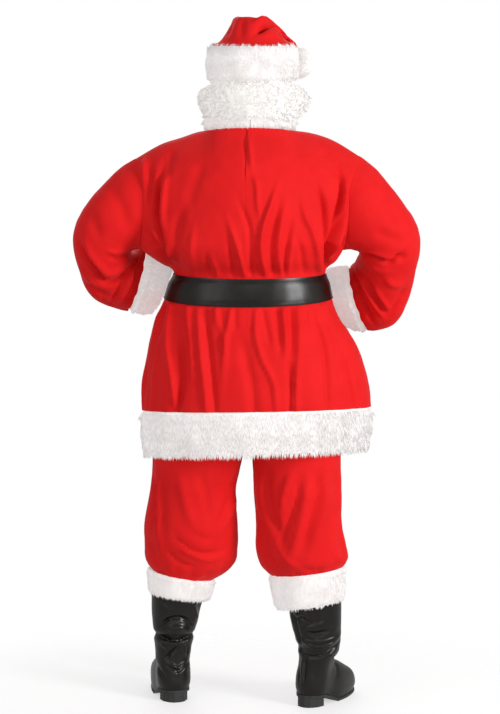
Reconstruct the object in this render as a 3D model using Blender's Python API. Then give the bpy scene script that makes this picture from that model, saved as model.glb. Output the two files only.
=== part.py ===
"""Santa suit with its hat, wig, belt and boots, hollow, in the pose in which it is worn.

Blender 4.5. The scene is in metres, the tables are in millimetres, and +Z is up. The wearer
faces +Y, so the back of the suit faces -Y and the wearer's right hand is at +X. Heights are
measured from the floor; the origin is the centre of the neck opening, NECK_HEIGHT above it.
A turn is an angle in degrees, seen from above: 0 at +X, 90 at the front, 270 at the back.
"""
import math
from collections import namedtuple

import bmesh
import bpy
from mathutils import Vector

MM = 0.001
NECK_HEIGHT = 1568.0
CLOTH = 2.5          # wall of the brushed cloth
VINYL = 3.0          # wall of the boots
SEAM = 0.3           # space between neighbouring pieces
SEAM_TURN = 0.06     # the same space between jacket panels, as a turn in degrees
NUDGE = 0.05         # step used to read a surface's direction

COLOURS = {          # red, green, blue, roughness, metallic
    "red_cloth": (0.70, 0.015, 0.02, 0.85, 0.0),
    "white_fur": (0.90, 0.88, 0.87, 0.95, 0.0),
    "white_curls": (0.92, 0.91, 0.88, 0.80, 0.0),
    "black_vinyl": (0.020, 0.018, 0.016, 0.35, 0.0),
    "black_rubber": (0.016, 0.015, 0.015, 0.60, 0.0),
    "yellow_metal": (0.80, 0.58, 0.22, 0.30, 1.0),
}

# ---------------------------------------------------------------- tables

Section = namedtuple("Section", "height left right back front")
JACKET_SECTIONS = (
    Section(680, -280, 317, 204, 229),
    Section(750, -284, 323, 206, 231),
    Section(818, -286, 326, 205, 230),
    Section(891, -285, 318, 200, 225),
    Section(977, -270, 295, 190, 215),
    Section(1026, -261, 270, 183, 207),
    Section(1064, -251, 245, 175, 200),
    Section(1099, -234, 230, 165, 183),
    Section(1120, -223, 224, 158, 177),
    Section(1156, -211, 216, 151, 176),
    Section(1186, -200, 208, 148, 176),
    Section(1215, -244, 236, 170, 187),
    Section(1245, -289, 256, 185, 200),
)
ARMPIT = 1245.0
HEM_SEAM = 824.5
HEM_BOTTOM = 700.0
HEM_TILT = 4.0       # its lower edge rises this much more to the wearer's right

Chest = namedtuple("Chest", "share left right back front")
CHEST = (            # share 0 at the armpit, 1 at the shoulder seam
    Chest(0.0, -289, 256, 185, 200),
    Chest(0.2, -282, 263, 190, 206),
    Chest(0.4, -278, 266, 188, 202),
    Chest(0.6, -280, 268, 176, 190),
    Chest(0.8, -290, 284, 148, 160),
    Chest(1.0, -305, 304, 86, 92),
)
ARMHOLE_DEPTH = 92.0
SHOULDER_SPACE = 0.4

Shoulder = namedtuple("Shoulder", "across height")
SHOULDER_LINE = (
    Shoulder(-305, 1488), Shoulder(-235, 1528), Shoulder(-181, 1546), Shoulder(-121, 1564),
    Shoulder(5, 1568), Shoulder(119, 1565), Shoulder(176, 1557), Shoulder(232, 1537),
    Shoulder(304, 1493),
)
NECK_MIDDLE, NECK_HALF = 5.0, 114.0
FRONT_NECK_DROP = 45.0
COLLAR_TOP = 1601.7
COLLAR_EASE = 1.2    # more space under the collar at the sides, where the shoulders slope

Flute = namedtuple("Flute", "turn width under_belt at_hem")
SKIRT_FLUTES = (     # soft standing folds of the skirt, their widths in degrees
    Flute(8, 17, 3, 10), Flute(27, 18, 5, 13), Flute(46, 17, 6, 10), Flute(63, 16, 5, 14),
    Flute(81, 17, 6, 10), Flute(99, 17, 5, 12), Flute(117, 18, 6, 14), Flute(135, 17, 5, 9),
    Flute(153, 18, 5, 13), Flute(171, 17, 3, 10),
    Flute(196, 18, 4, 12), Flute(220, 16, 6, 15), Flute(238, 15, 7, 11), Flute(254, 14, 6, 8),
    Flute(268, 14, 5, 10), Flute(284, 15, 6, 9), Flute(300, 15, 7, 14), Flute(317, 16, 6, 11),
    Flute(337, 18, 4, 14), Flute(354, 16, 3, 9),
)
FLUTE_TOP, FLUTE_FULL = 1100.0, 860.0

Droop = namedtuple("Droop", "level back right")
LEVEL_DROOP = (      # how much lower a level hangs at the back, and how much higher on the right
    Droop(690, -10.5, 4.5), Droop(830, -10.5, 4.5), Droop(960, 0, 0), Droop(1119, 19, 0),
    Droop(1184, 12, 0), Droop(1245, 0, 0),
)

# A sleeve section runs from its outer point to its inner point, both seen from the back;
# middle is how far forward it lies and depth is half of its size front to back.
Ring = namedtuple("Ring", "step outer_x outer_z inner_x inner_z middle depth")
SLEEVE_LEFT = (
    Ring(0, -305, 1488, -289, 1245, 0, 92), Ring(1, -343, 1463, -297, 1247, 0, 96),
    Ring(2, -386, 1421, -305, 1245, 2, 98), Ring(3, -425, 1378, -311, 1242, 5, 98),
    Ring(4, -456, 1330, -315, 1239, 9, 96), Ring(5, -471, 1280, -317, 1236, 15, 92),
    Ring(6, -468, 1234, -315, 1231, 27, 88), Ring(7, -458, 1191, -310, 1228, 42, 84),
    Ring(8, -446, 1148, -304, 1230, 58, 80), Ring(9, -423, 1113, -299, 1236, 74, 76),
    Ring(10, -394, 1094, -297, 1243, 89, 73), Ring(11, -362, 1082, -293, 1249, 103, 72),
    Ring(12, -333, 1077, -285, 1251, 117, 71), Ring(13, -308, 1074, -260, 1242, 138, 68),
    Ring(14, -285, 1072, -232, 1226, 158, 64), Ring(15, -262, 1070, -203, 1211, 177, 60),
)
SLEEVE_RIGHT = (
    Ring(0, 304, 1493, 256, 1245, 0, 92), Ring(1, 345, 1459, 266, 1246, 0, 96),
    Ring(2, 381, 1416, 275, 1246, 2, 98), Ring(3, 414, 1373, 283, 1244, 5, 98),
    Ring(4, 445, 1331, 290, 1243, 10, 96), Ring(5, 462, 1285, 295, 1242, 17, 92),
    Ring(6, 463, 1240, 299, 1239, 28, 88), Ring(7, 456, 1193, 301, 1237, 42, 84),
    Ring(8, 447, 1148, 302, 1235, 57, 81), Ring(9, 436, 1104, 302, 1232, 72, 79),
    Ring(10, 420, 1064, 300, 1227, 88, 77), Ring(11, 396, 1035, 297, 1218, 104, 76),
    Ring(12, 362, 1022, 291, 1206, 120, 75), Ring(13, 336, 1020, 282, 1195, 137, 74),
    Ring(14, 313, 1023, 263, 1190, 156, 72), Ring(15, 293, 1027, 239, 1186, 174, 70),
    Ring(16, 274, 1031, 213, 1181, 191, 67),
)
SLEEVE_TWIST, SLEEVE_TWIST_END = 0.7, 0.35   # how far sections turn to face along the arm
SLEEVE_CLOTH_END = {"left": 12, "right": 13}
CUFF_START, CUFF_STEPS = 0.08, 2.9
CUFF_PROFILE = (     # steps from the cloth's end as a share of the cuff, and out
    (0.0, -7), (0.0, 6), (0.10, 12), (0.5, 15), (0.90, 11), (1.0, 2), (1.0, -7), (0.5, -9),
)

HAT_MIDDLE, BAND_BOTTOM, BAND_HEIGHT, BAND_TILT = 12.0, 1693.0, 98.0, 12.0
BAND_INNER_ACROSS, BAND_INNER_DEEP = 104.0, 101.0
BAND_PROFILE = (     # share of the band's height, and out from its inner face
    (0.0, 0), (0.0, 13), (0.12, 21), (0.5, 24), (0.88, 20), (1.0, 12), (1.0, 0),
)
HAT_SEAT, HAT_SEAT_OUT = 3.0, 2.0    # where the cone stands on the band
HAT_LEAN = 44.0      # the cone folds over towards this turn
HAT_CROWN = (        # measured along the lean from the hat's middle
    Ring(0, -111, 1791, 111, 1791, 0, 108), Ring(1, -88, 1799, 101, 1797, 0, 94),
    Ring(2, -71, 1824, 92, 1805, 0, 78), Ring(3, -57, 1847, 86, 1811, 0, 68),
    Ring(4, -43, 1861, 82, 1815, 0, 60), Ring(5, -16, 1861, 80, 1818, 0, 53),
    Ring(6, 18, 1861, 81, 1820, 0, 46), Ring(7, 50, 1854, 85, 1818, 0, 40),
    Ring(8, 79, 1842, 92, 1814, 0, 34), Ring(9, 106, 1828, 102, 1808, 0, 28),
    Ring(10, 132, 1816, 118, 1800, 0, 22), Ring(11, 153, 1807, 139, 1793, 0, 16),
)
POMPOM_AT, POMPOM_RADIUS, POMPOM_LOCK = (137.0, 121.0, 1752.0), 36.0, 9.0

Wig = namedtuple("Wig", "height half_width depth")
WIG = (
    Wig(1602, 116, 112), Wig(1624, 132, 126), Wig(1650, 139, 134), Wig(1668, 126, 122),
    Wig(1680, 103.4, 100.4), Wig(1730, 103.4, 100.4), Wig(1766, 99, 96),
    Wig(1782, 86, 84), Wig(1792, 65, 64), Wig(1798, 38, 37),
)
WIG_TOP = 1801.0
WIG_FACE_EDGE = 1690.0
WIG_FACE = (30, 150)  # turns between which the face is open
CURLS, CURL_DEPTH = 7, 5.0
CURLS_RISE, CURLS_END = (1602, 1620), (1655, 1676)     # heights where curls grow and fade
WIG_LEVELS = (1602, 1618, 1635, 1652, 1667, 1679, 1690, 1730, 1766, 1784, 1795)
WIG_THICK = 3.0

BELT_LEVELS = (1119.0, 1151.5, 1184.0)
BELT_OUT, BELT_THICK = 0.5, 3.6
BUCKLE_AT, BUCKLE_FACE = 1152.0, 186.0
BUCKLE_ACROSS = (-46.0, -35.0, -4.0, 4.0, 35.0, 46.0)
BUCKLE_UP = (-44.0, -35.0, 35.0, 44.0)
BUCKLE_THICK, PRONG_THICK = 4.0, 3.0
PRONG_ACROSS, PRONG_UP = (-46.0, 0.0, 4.0), (-3.0, 3.0)

HIPS = (
    Section(800, -260, 250, 136, 148), Section(860, -257, 248, 146, 158),
    Section(950, -246, 240, 152, 168), Section(1040, -229, 227, 155, 174),
    Section(1119, -220.3, 220.6, 154.6, 173.6),
)
SEAT_SEAM_END, CROTCH_DROP = 800.0, 48.0
WAISTBAND_SPACE, WAISTBAND_THICK = 0.6, 3.0

Leg = namedtuple("Leg", "height outer inner depth middle tilt")
LEG_LEFT = (         # tilt raises a section's +X side
    Leg(358, -269, -92, 86, 62, -16), Leg(373, -279, -62, 95, 59, -14),
    Leg(396, -284, -35, 102, 54, -9), Leg(432, -285, -29, 106, 46, -3),
    Leg(502, -283, -29, 108, 32, 0), Leg(589, -268, -34, 110, 18, 0),
    Leg(672, -260, -17, 116, 6, 0), Leg(750, -260, -6, 128, 0, 0),
    Leg(800, -260, -2, 136, 0, 0),
)
LEG_RIGHT = (
    Leg(379, 263, 54, 88, 8, 12), Leg(392, 271, 39, 96, 6, 11),
    Leg(408, 272, 29, 102, 3, 8), Leg(440, 267, 21, 106, 0, 3),
    Leg(502, 255, 22, 108, -3, 0), Leg(589, 254, 16, 112, -3, 0),
    Leg(672, 251, 11, 118, 0, 0), Leg(750, 251, 5, 128, 0, 0),
    Leg(800, 250, 2, 136, 0, 0),
)
TUCK_FULL = 690.0    # below this height a leg is a full round tube

Cuff = namedtuple("Cuff", "share height outer inner depth middle tilt")
LEG_FUR_LEFT = (
    Cuff(0, 293, -277, -99, 90, 62, -12), Cuff(1, 357.2, -281, -86, 95, 62, -16),
)
LEG_FUR_RIGHT = (
    Cuff(0, 283, 265, 68, 93, 6, 13), Cuff(1, 378.2, 268, 50, 98, 8, 12),
)
LEG_FUR_PROFILE = (  # share of the height, and in from the outer face
    (0.0, 13), (0.0, 5), (0.12, 1), (0.5, 0), (0.88, 1), (1.0, 5), (1.0, 13),
)
LEG_FUR_THIN, LEG_FUR_THICK = 8.0, 15.0

Boot = namedtuple("Boot", "height half_width back front across middle toe_out")
BOOT_LEFT = (
    Boot(34.0, 43, 47, 178, -208, 74, 16), Boot(50, 47, 52, 180, -208, 74, 16),
    Boot(75, 48, 51, 168, -208, 74, 16), Boot(95, 47, 50, 126, -208, 74, 14),
    Boot(112, 47, 48, 90, -209, 74, 10), Boot(130, 49, 47, 70, -208, 73, 5),
    Boot(152, 51, 49, 57, -207, 72, 0), Boot(172, 54, 52, 54, -206, 70, 0),
    Boot(184, 51, 47, 50, -205, 69, 0), Boot(200, 58, 58, 56, -204, 68, 0),
    Boot(236, 65, 58, 60, -201, 66, 0), Boot(290, 72, 69, 68.5, -195.2, 64, 0),
    Boot(342, 74.5, 72.5, 72, -190.2, 62, 0),
)
BOOT_RIGHT = (
    Boot(34.0, 42, 47, 178, 178, 16, 38), Boot(50, 46, 51, 184, 178, 16, 38),
    Boot(75, 47, 51, 168, 179, 16, 37), Boot(95, 46, 50, 124, 181, 16, 34),
    Boot(112, 46, 49, 90, 184, 15, 26), Boot(130, 49, 49, 71, 188, 14, 14),
    Boot(150, 56, 53, 60, 192, 12, 6), Boot(166, 57, 55, 57, 194, 11, 0),
    Boot(178, 61, 61, 60, 192.5, 10, 0), Boot(196, 63, 58, 60, 190, 9, 0),
    Boot(236, 69.5, 64, 65, 185, 8, 0), Boot(290, 73, 70, 70, 181.1, 7, 0),
    Boot(342, 74.5, 72, 72, 180.1, 6, 0),
)
SOLE_TOP, SOLE_THICK, SOLE_EDGE, HEEL_INSET = 33.2, 7.0, 3.0, 7.0
ARCH = (0.0, 32.0, 64.0)     # start, middle and end of the step down from the heel
TOE_LIFT_START, TOE_LIFT, FOOT_LENGTH, FOOT_FADE = 110.0, 7.0, 178.0, 110.0
SOLE_STATIONS = (-49.0, -42.0, -24.0, *ARCH, 98.0, 132.0, 158.0, 173.0, 179.5)

PANEL_COLUMNS, FRONT_COLUMNS, SLEEVE_COLUMNS, LEG_COLUMNS, HEAD_COLUMNS = 16, 24, 16, 16, 22


# ---------------------------------------------------------------- reading tables

def read(rows, value):
    """The table's row at a value of its first column, on a smooth curve through all rows."""
    index = max(0, min(len(rows) - 2, sum(row[0] <= value for row in rows) - 1))
    span = rows[index + 1][0] - rows[index][0]
    share = (value - rows[index][0]) / span

    def slopes(at):
        low, high = rows[max(at - 1, 0)], rows[min(at + 1, len(rows) - 1)]
        return [(b - a) / (high[0] - low[0]) * span for a, b in zip(low, high)]

    if not 0.0 <= share <= 1.0:
        end = rows[index + 1] if share > 1.0 else rows[index]
        beyond = (value - end[0]) / span
        pairs = zip(end, slopes(index + 1 if share > 1.0 else index))
        return type(end)(*[number + slope * beyond for number, slope in pairs])
    square, cube = share ** 2, share ** 3
    numbers = zip(rows[index], rows[index + 1], slopes(index), slopes(index + 1))
    return type(rows[0])(*[
        a * (2 * cube - 3 * square + 1) + b * (3 * square - 2 * cube)
        + slope_a * (cube - 2 * square + share) + slope_b * (cube - square)
        for a, b, slope_a, slope_b in numbers
    ])


def ease(value, start, end):
    """0 before start, 1 after end, and a smooth step between."""
    share = min(1.0, max(0.0, (value - start) / (end - start)))
    return share * share * (3 - 2 * share)


def spread(start, end, count):
    """count + 1 even values from start to end."""
    return [start + (end - start) * index / count for index in range(count + 1)]


def cos(turn):
    return math.cos(math.radians(turn))


def sin(turn):
    return math.sin(math.radians(turn))


# ---------------------------------------------------------------- making solids

def material(name):
    made = bpy.data.materials.get(name) or bpy.data.materials.new(name)
    red, green, blue, roughness, metallic = COLOURS[name]
    made.use_nodes = True
    shader = made.node_tree.nodes["Principled BSDF"]
    shader.inputs["Base Color"].default_value = (red, green, blue, 1.0)
    shader.inputs["Roughness"].default_value = roughness
    shader.inputs["Metallic"].default_value = metallic
    return made


def finish(name, bm, finish_name, crease=50.0):
    """Close the bmesh into a named, smooth-shaded object that hangs from the neck."""
    loose = [point for point in bm.verts if not point.link_faces]
    bmesh.ops.delete(bm, geom=loose, context="VERTS")
    bmesh.ops.scale(bm, verts=bm.verts, vec=(MM, MM, MM))
    bmesh.ops.recalc_face_normals(bm, faces=bm.faces)
    mesh = bpy.data.meshes.new(name)
    bm.to_mesh(mesh)
    bm.free()
    mesh.shade_smooth()
    mesh.set_sharp_from_angle(angle=math.radians(crease))
    mesh.materials.append(material(finish_name))
    made = bpy.data.objects.new(name, mesh)
    bpy.context.scene.collection.objects.link(made)
    made.parent = bpy.data.objects["neck_opening"]
    return made


def outward(place, turn, level):
    """The unit direction out of the surface place(turn, level)."""
    across = place(turn + NUDGE, level) - place(turn - NUDGE, level)
    along = place(turn, level + NUDGE) - place(turn, level - NUDGE)
    return across.cross(along).normalized()


def wall(name, place, turns, levels, finish_name, thick=CLOTH, around=False, keep=None, tip=None,
         hold=None):
    """A wall whose outer face is place(turn, level) and whose inner face lies thick inside it.

    around joins the last turn to the first; keep(turn, level) says which faces are there;
    tip closes the last level at a point; hold(point) keeps an inner point on its side of a seam.
    """
    bm = bmesh.new()
    outer, inner = {}, {}
    for column, turn in enumerate(turns):
        for row, level in enumerate(levels):
            point = place(turn, level)
            outer[column, row] = bm.verts.new(point)
            inside = point - outward(place, turn, level) * thick
            inner[column, row] = bm.verts.new(hold(inside) if hold else inside)
    faces = []
    for column in range(len(turns) if around else len(turns) - 1):
        beside = (column + 1) % len(turns)
        for row in range(len(levels) - 1):
            if keep and not keep(turns[column], levels[row]):
                continue
            corners = [(column, row), (beside, row), (beside, row + 1), (column, row + 1)]
            spans = [(outer[corners[at]].co - outer[corners[at + 2]].co).length for at in (0, 1)]
            if spans[1] < spans[0]:
                corners = corners[1:] + corners[:1]
            for half in (corners[:3], [corners[0], corners[2], corners[3]]):
                faces.append(bm.faces.new([outer[corner] for corner in half]))
                bm.faces.new([inner[corner] for corner in reversed(half)])
    if tip is not None:
        last = len(levels) - 1
        ring = [outer[column, last].co for column in range(len(turns))]
        centre = sum(ring, Vector()) / len(ring)
        slant = (tip - ring[0]).length / (centre - ring[0]).length
        point = bm.verts.new(tip)
        point_inside = bm.verts.new(tip - (tip - centre).normalized() * thick * slant)
        for column in range(len(turns)):
            beside = (column + 1) % len(turns)
            faces.append(bm.faces.new((outer[column, last], outer[beside, last], point)))
            bm.faces.new((inner[beside, last], inner[column, last], point_inside))
    partner = {outer[spot]: inner[spot] for spot in outer}
    for loop in [loop for face in faces for loop in face.loops if loop.edge.is_boundary]:
        first, second = loop.vert, loop.link_loop_next.vert
        bm.faces.new((second, first, partner[first], partner[second]))
    return finish(name, bm, finish_name)


def band(name, place, turns, profile, finish_name, around=True):
    """A solid strip: place(turn, rise, out) for each corner (rise, out) of its profile."""
    bm = bmesh.new()
    loops = [[bm.verts.new(place(turn, rise, out)) for rise, out in profile] for turn in turns]
    for index in range(len(turns) if around else len(turns) - 1):
        first, second = loops[index], loops[(index + 1) % len(turns)]
        for corner in range(len(profile)):
            after = (corner + 1) % len(profile)
            bm.faces.new((first[corner], second[corner], second[after], first[after]))
    if not around:
        bm.faces.new(loops[0])
        bm.faces.new(list(reversed(loops[-1])))
    return finish(name, bm, finish_name, crease=70.0)


# ---------------------------------------------------------------- jacket

def drooped(turn, level):
    """The height of a level of the garment at a turn; the waist hangs lower at the back."""
    if level >= LEVEL_DROOP[-1].level:
        return level
    droop = read(LEVEL_DROOP, level)
    return level + droop.back * min(0.0, sin(turn)) + droop.right * cos(turn)


def flutes(turn, level):
    """How far the skirt's standing folds push the cloth out."""
    grown = 1.0 - ease(level, FLUTE_FULL, FLUTE_TOP)
    start = 1.0 - ease(level, FLUTE_TOP - 20, BELT_LEVELS[0] - 2)
    total = 0.0
    for fold in SKIRT_FLUTES:
        away = abs((turn - fold.turn + 180) % 360 - 180) / fold.width
        if away < 1.0:
            rise = fold.under_belt + (fold.at_hem - fold.under_belt) * grown
            total += rise * (0.5 + 0.5 * math.cos(math.pi * away))
    return (total - 4.0) * start


def body(turn, height, out=0.0):
    """A point of the jacket below the armpits, moved out from its cloth."""
    section = read(JACKET_SECTIONS, height)
    half = (section.right - section.left) / 2 + out
    depth = (section.front if sin(turn) > 0 else section.back) + out
    x = (section.left + section.right) / 2 + half * cos(turn)
    return Vector((x, depth * sin(turn), height))


def skirt(turn, level, out=0.0):
    """A point of the jacket by its level, with its standing folds."""
    return body(turn, drooped(turn, level), out + flutes(turn, level))


def neck_drop(turn):
    """How much lower the neckline lies at the front."""
    return FRONT_NECK_DROP * max(0.0, sin(turn)) ** 2


def upper(turn, share, back):
    """A point of a panel above the armpits, share of the way up to the shoulder seam."""
    chest = read(CHEST, share)
    half, middle = (chest.right - chest.left) / 2, (chest.right + chest.left) / 2
    side = (turn - 270) / 90 if back else (90 - turn) / 90
    flat = min(1.0, 3 * share)
    x = middle + half * ((1 - flat) * sin(90 * side) + flat * side)
    arm = ARMHOLE_DEPTH * math.sqrt(max(0.0, 1 - (2 * share - 1) ** 2))
    depth = arm + ((chest.back if back else chest.front) - arm) * cos(90 * side)
    neck_share = (x - NECK_MIDDLE) / NECK_HALF
    neck = math.sqrt(max(0.0, 1 - neck_share ** 2))
    reach = (CHEST[-1].back if back else CHEST[-1].front) * neck + SHOULDER_SPACE
    rounding = 1 - math.sqrt(max(0.0, 1 - min(1.0, share) ** 4))
    line = read(SHOULDER_LINE, x).height - (0 if back else FRONT_NECK_DROP * neck ** 2)
    y = depth * (1 - rounding) + reach * rounding
    return Vector((x, -y if back else y, ARMPIT + (line - ARMPIT) * share))


def panel_place(back):
    """The outer face of a back or front panel, by its turn and its level up to the neck."""
    def place(turn, level):
        if level <= ARMPIT:
            return skirt(turn, level)
        return upper(turn, (level - ARMPIT) / (NECK_HEIGHT - ARMPIT), back)

    return place


def panel_levels():
    """Rows of a panel: levels up to the armpit, then rows that match the sleeve's turns."""
    lower = [HEM_SEAM, 878, 938, 992, 1036, 1070, 1098, *BELT_LEVELS, 1212]
    rows = SLEEVE_COLUMNS // 2
    return lower + [ARMPIT + (NECK_HEIGHT - ARMPIT) * (1 - cos(180 * row / rows)) / 2
                    for row in range(rows + 1)]


def make_panels():
    levels = panel_levels()
    edge = SEAM_TURN

    def behind(point):
        return Vector((point.x, min(point.y, -SEAM / 2), point.z))

    def before(point):
        return Vector((point.x, max(point.y, SEAM / 2), point.z))

    wall("jacket_back_left", panel_place(True), spread(180 + edge, 270 - edge, PANEL_COLUMNS),
         levels, "red_cloth", hold=behind)
    wall("jacket_back_right", panel_place(True), spread(270 + edge, 360 - edge, PANEL_COLUMNS),
         levels, "red_cloth", hold=behind)
    wall("jacket_front", panel_place(False), spread(edge, 180 - edge, FRONT_COLUMNS),
         levels, "red_cloth", hold=before)


def jacket_turns():
    """Every column of the jacket, once round from the right side seam."""
    front = spread(0, 180, FRONT_COLUMNS)[:-1]
    return front + spread(180, 360, 2 * PANEL_COLUMNS)[:-1]


def make_hem_fur():
    def place(turn, rise, out):
        height = drooped(turn, HEM_BOTTOM + (HEM_SEAM - SEAM - HEM_BOTTOM) * rise)
        point = body(turn, height, out + flutes(turn, HEM_SEAM))
        return point + Vector((0, 0, HEM_TILT * cos(turn) * (1 - rise)))

    profile = ((0.0, -8), (0.0, 4), (0.08, 11), (0.5, 14), (0.92, 11), (1.0, 5), (1.0, -8))
    band("hem_fur", place, jacket_turns(), profile, "white_fur")


def make_collar():
    def place(turn, rise, out):
        x = NECK_MIDDLE + NECK_HALF * cos(turn)
        seat = SEAM + COLLAR_EASE * (1 + min(0.0, sin(turn)))
        base = read(SHOULDER_LINE, x).height - neck_drop(turn) + seat
        top = COLLAR_TOP - neck_drop(turn)
        depth = CHEST[-1].front if sin(turn) > 0 else CHEST[-1].back
        return Vector((x + out * cos(turn), (depth + out) * sin(turn), base + (top - base) * rise))

    profile = ((0, -10), (0, 6), (0.25, 12), (0.7, 13), (1, 8), (1, -10), (0.5, -13))
    band("collar_fur", place, spread(273, 627, 26), profile, "white_fur", around=False)


# ---------------------------------------------------------------- tubes: sleeves and hat

def tube(rings, turn, step, out=0.0, twist=SLEEVE_TWIST):
    """A point of a bent tube, moved out; turn 0 is at the inner point of its sections.

    twist, from 0 to 1, is how far the sections turn to face along the tube.
    """
    def centre(at):
        ring = read(rings, at)
        return Vector(((ring.outer_x + ring.inner_x) / 2, ring.middle, (ring.outer_z + ring.inner_z) / 2))

    ring = read(rings, step)
    half = Vector((ring.inner_x - ring.outer_x, 0, ring.inner_z - ring.outer_z)) / 2
    first = half.normalized()
    ahead = (centre(step + 0.5) - centre(step - 0.5)).normalized()
    second = ahead.cross(first).normalized()
    straight = Vector((0, math.copysign(1.0, second.y), 0))
    second = straight.lerp(second, twist).normalized()
    return centre(step) + first * (half.length + out) * cos(turn) + second * (ring.depth + out) * sin(turn)


def armhole(side, turn):
    """A point of the armhole's edge, in the turns of the sleeve."""
    share = (1 - cos(turn)) / 2
    chest = read(CHEST, share)
    tip = read(SHOULDER_LINE, CHEST[-1].left if side == "left" else CHEST[-1].right).height
    x = chest.left - SEAM - 0.1 if side == "left" else chest.right + SEAM + 0.1
    y = ARMHOLE_DEPTH * sin(turn) * (-1 if side == "left" else 1)
    return Vector((x, y, ARMPIT + (tip - ARMPIT) * share))


def sleeve_place(side):
    rings = SLEEVE_LEFT if side == "left" else SLEEVE_RIGHT

    def place(turn, step, out=0.0):
        twist = SLEEVE_TWIST + (SLEEVE_TWIST_END - SLEEVE_TWIST) * ease(step, 8, 12)
        point = tube(rings, turn, step, out, twist)
        if step < 3:
            to_seam = armhole(side, turn) - tube(rings, turn, 0)
            point += to_seam * (1 - ease(step, 0, 3))
        return point

    return place


def make_sleeve(side):
    place = sleeve_place(side)
    end = SLEEVE_CLOTH_END[side]
    turns = spread(0, 360, SLEEVE_COLUMNS)[:-1]
    wall(f"sleeve_{side}", place, turns, spread(0, end, end + 1), "red_cloth", around=True)

    def cuff(turn, share, out):
        return place(turn, end + CUFF_START + (CUFF_STEPS - CUFF_START) * share, out)

    band(f"cuff_fur_{side}", cuff, turns, CUFF_PROFILE, "white_fur")


def hat_band(turn, share, out):
    x = HAT_MIDDLE + (BAND_INNER_ACROSS + out) * cos(turn)
    y = (BAND_INNER_DEEP + out) * sin(turn)
    return Vector((x, y, BAND_BOTTOM + BAND_HEIGHT * share + BAND_TILT * sin(turn)))


def hat_crown(turn, step):
    """The folded cone; its first section sits on the band."""
    def leaned(at):
        point = tube(HAT_CROWN, turn, at, twist=0.0)
        x = point.x * cos(HAT_LEAN) - point.y * sin(HAT_LEAN)
        y = point.x * sin(HAT_LEAN) + point.y * cos(HAT_LEAN)
        return Vector((HAT_MIDDLE + x, y, point.z))

    point = leaned(step)
    if step < 2:
        seat = hat_band(turn + HAT_LEAN, 1.0, HAT_SEAT_OUT) + Vector((0, 0, HAT_SEAT))
        point += (seat - leaned(0)) * (1 - ease(step, 0, 2))
    return point


def make_hat():
    turns = spread(0, 360, HEAD_COLUMNS)[:-1]
    band("hat_band", hat_band, turns, BAND_PROFILE, "white_fur")
    tip = Vector(POMPOM_AT) + Vector((0, 0, POMPOM_RADIUS + 0.5))
    wall("hat_crown", hat_crown, turns, spread(0, 11, 11), "red_cloth", around=True, tip=tip)


def make_pompom():
    """A ball of fur locks: pointed tufts on the faces of a round core."""
    bm = bmesh.new()
    bmesh.ops.create_icosphere(bm, subdivisions=3, radius=POMPOM_RADIUS)
    for face in list(bm.faces):
        middle = face.calc_center_median()
        if middle.z > 0.93 * POMPOM_RADIUS or face.index % 3 == 0:
            continue
        lock = POMPOM_LOCK * (0.75 + 0.25 * math.sin(5.1 * face.index))
        poked = bmesh.ops.poke(bm, faces=[face])
        poked["verts"][0].co = middle.normalized() * (POMPOM_RADIUS + lock)
    bmesh.ops.translate(bm, verts=bm.verts, vec=POMPOM_AT)
    finish("hat_pompom", bm, "white_fur", crease=80.0)


def wig(turn, height):
    row = read(WIG, height)
    curl = CURL_DEPTH * cos(CURLS * turn) * ease(height, *CURLS_RISE) * (1 - ease(height, *CURLS_END))
    return Vector((HAT_MIDDLE + (row.half_width + curl) * cos(turn), (row.depth + curl) * sin(turn), height))


def make_wig():
    def keep(turn, height):
        return height >= WIG_FACE_EDGE or not WIG_FACE[0] <= turn < WIG_FACE[1]

    top = Vector((HAT_MIDDLE, 0, WIG_TOP))
    wall("wig_curls", wig, spread(0, 360, HEAD_COLUMNS)[:-1], WIG_LEVELS, "white_curls",
         thick=WIG_THICK, around=True, keep=keep, tip=top)


# ---------------------------------------------------------------- belt

def make_belt():
    """The strap lies on the jacket, row on row, so it never cuts the cloth."""
    low, middle, high = BELT_LEVELS
    outer = BELT_OUT + BELT_THICK
    profile = ((low, BELT_OUT), (low, outer), (middle, outer), (high, outer), (high, BELT_OUT),
               (middle, BELT_OUT))
    band("belt_strap", skirt, jacket_turns(), profile, "black_vinyl")


def make_buckle():
    middle = body(90, BUCKLE_AT).x

    def face(out):
        return lambda across, up: Vector((middle + across, BUCKLE_FACE + out, BUCKLE_AT + up))

    def keep(across, up):
        frame = up != BUCKLE_UP[1]
        return frame or across in (BUCKLE_ACROSS[0], BUCKLE_ACROSS[2], BUCKLE_ACROSS[4])

    wall("belt_buckle", lambda across, up: face(0)(-across, up), BUCKLE_ACROSS, BUCKLE_UP,
         "yellow_metal", thick=BUCKLE_THICK, keep=keep)
    wall("belt_prong", lambda across, up: face(PRONG_THICK + SEAM)(-across, up), PRONG_ACROSS,
         PRONG_UP, "yellow_metal", thick=PRONG_THICK)


# ---------------------------------------------------------------- trousers

def make_waistband():
    low, high = BELT_LEVELS[:2]
    outer = -CLOTH - WAISTBAND_SPACE
    inner = outer - WAISTBAND_THICK
    profile = ((low, outer), (high, outer), (high, inner), (low, inner))
    band("waistband", skirt, jacket_turns()[::2], profile, "red_cloth")


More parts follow.
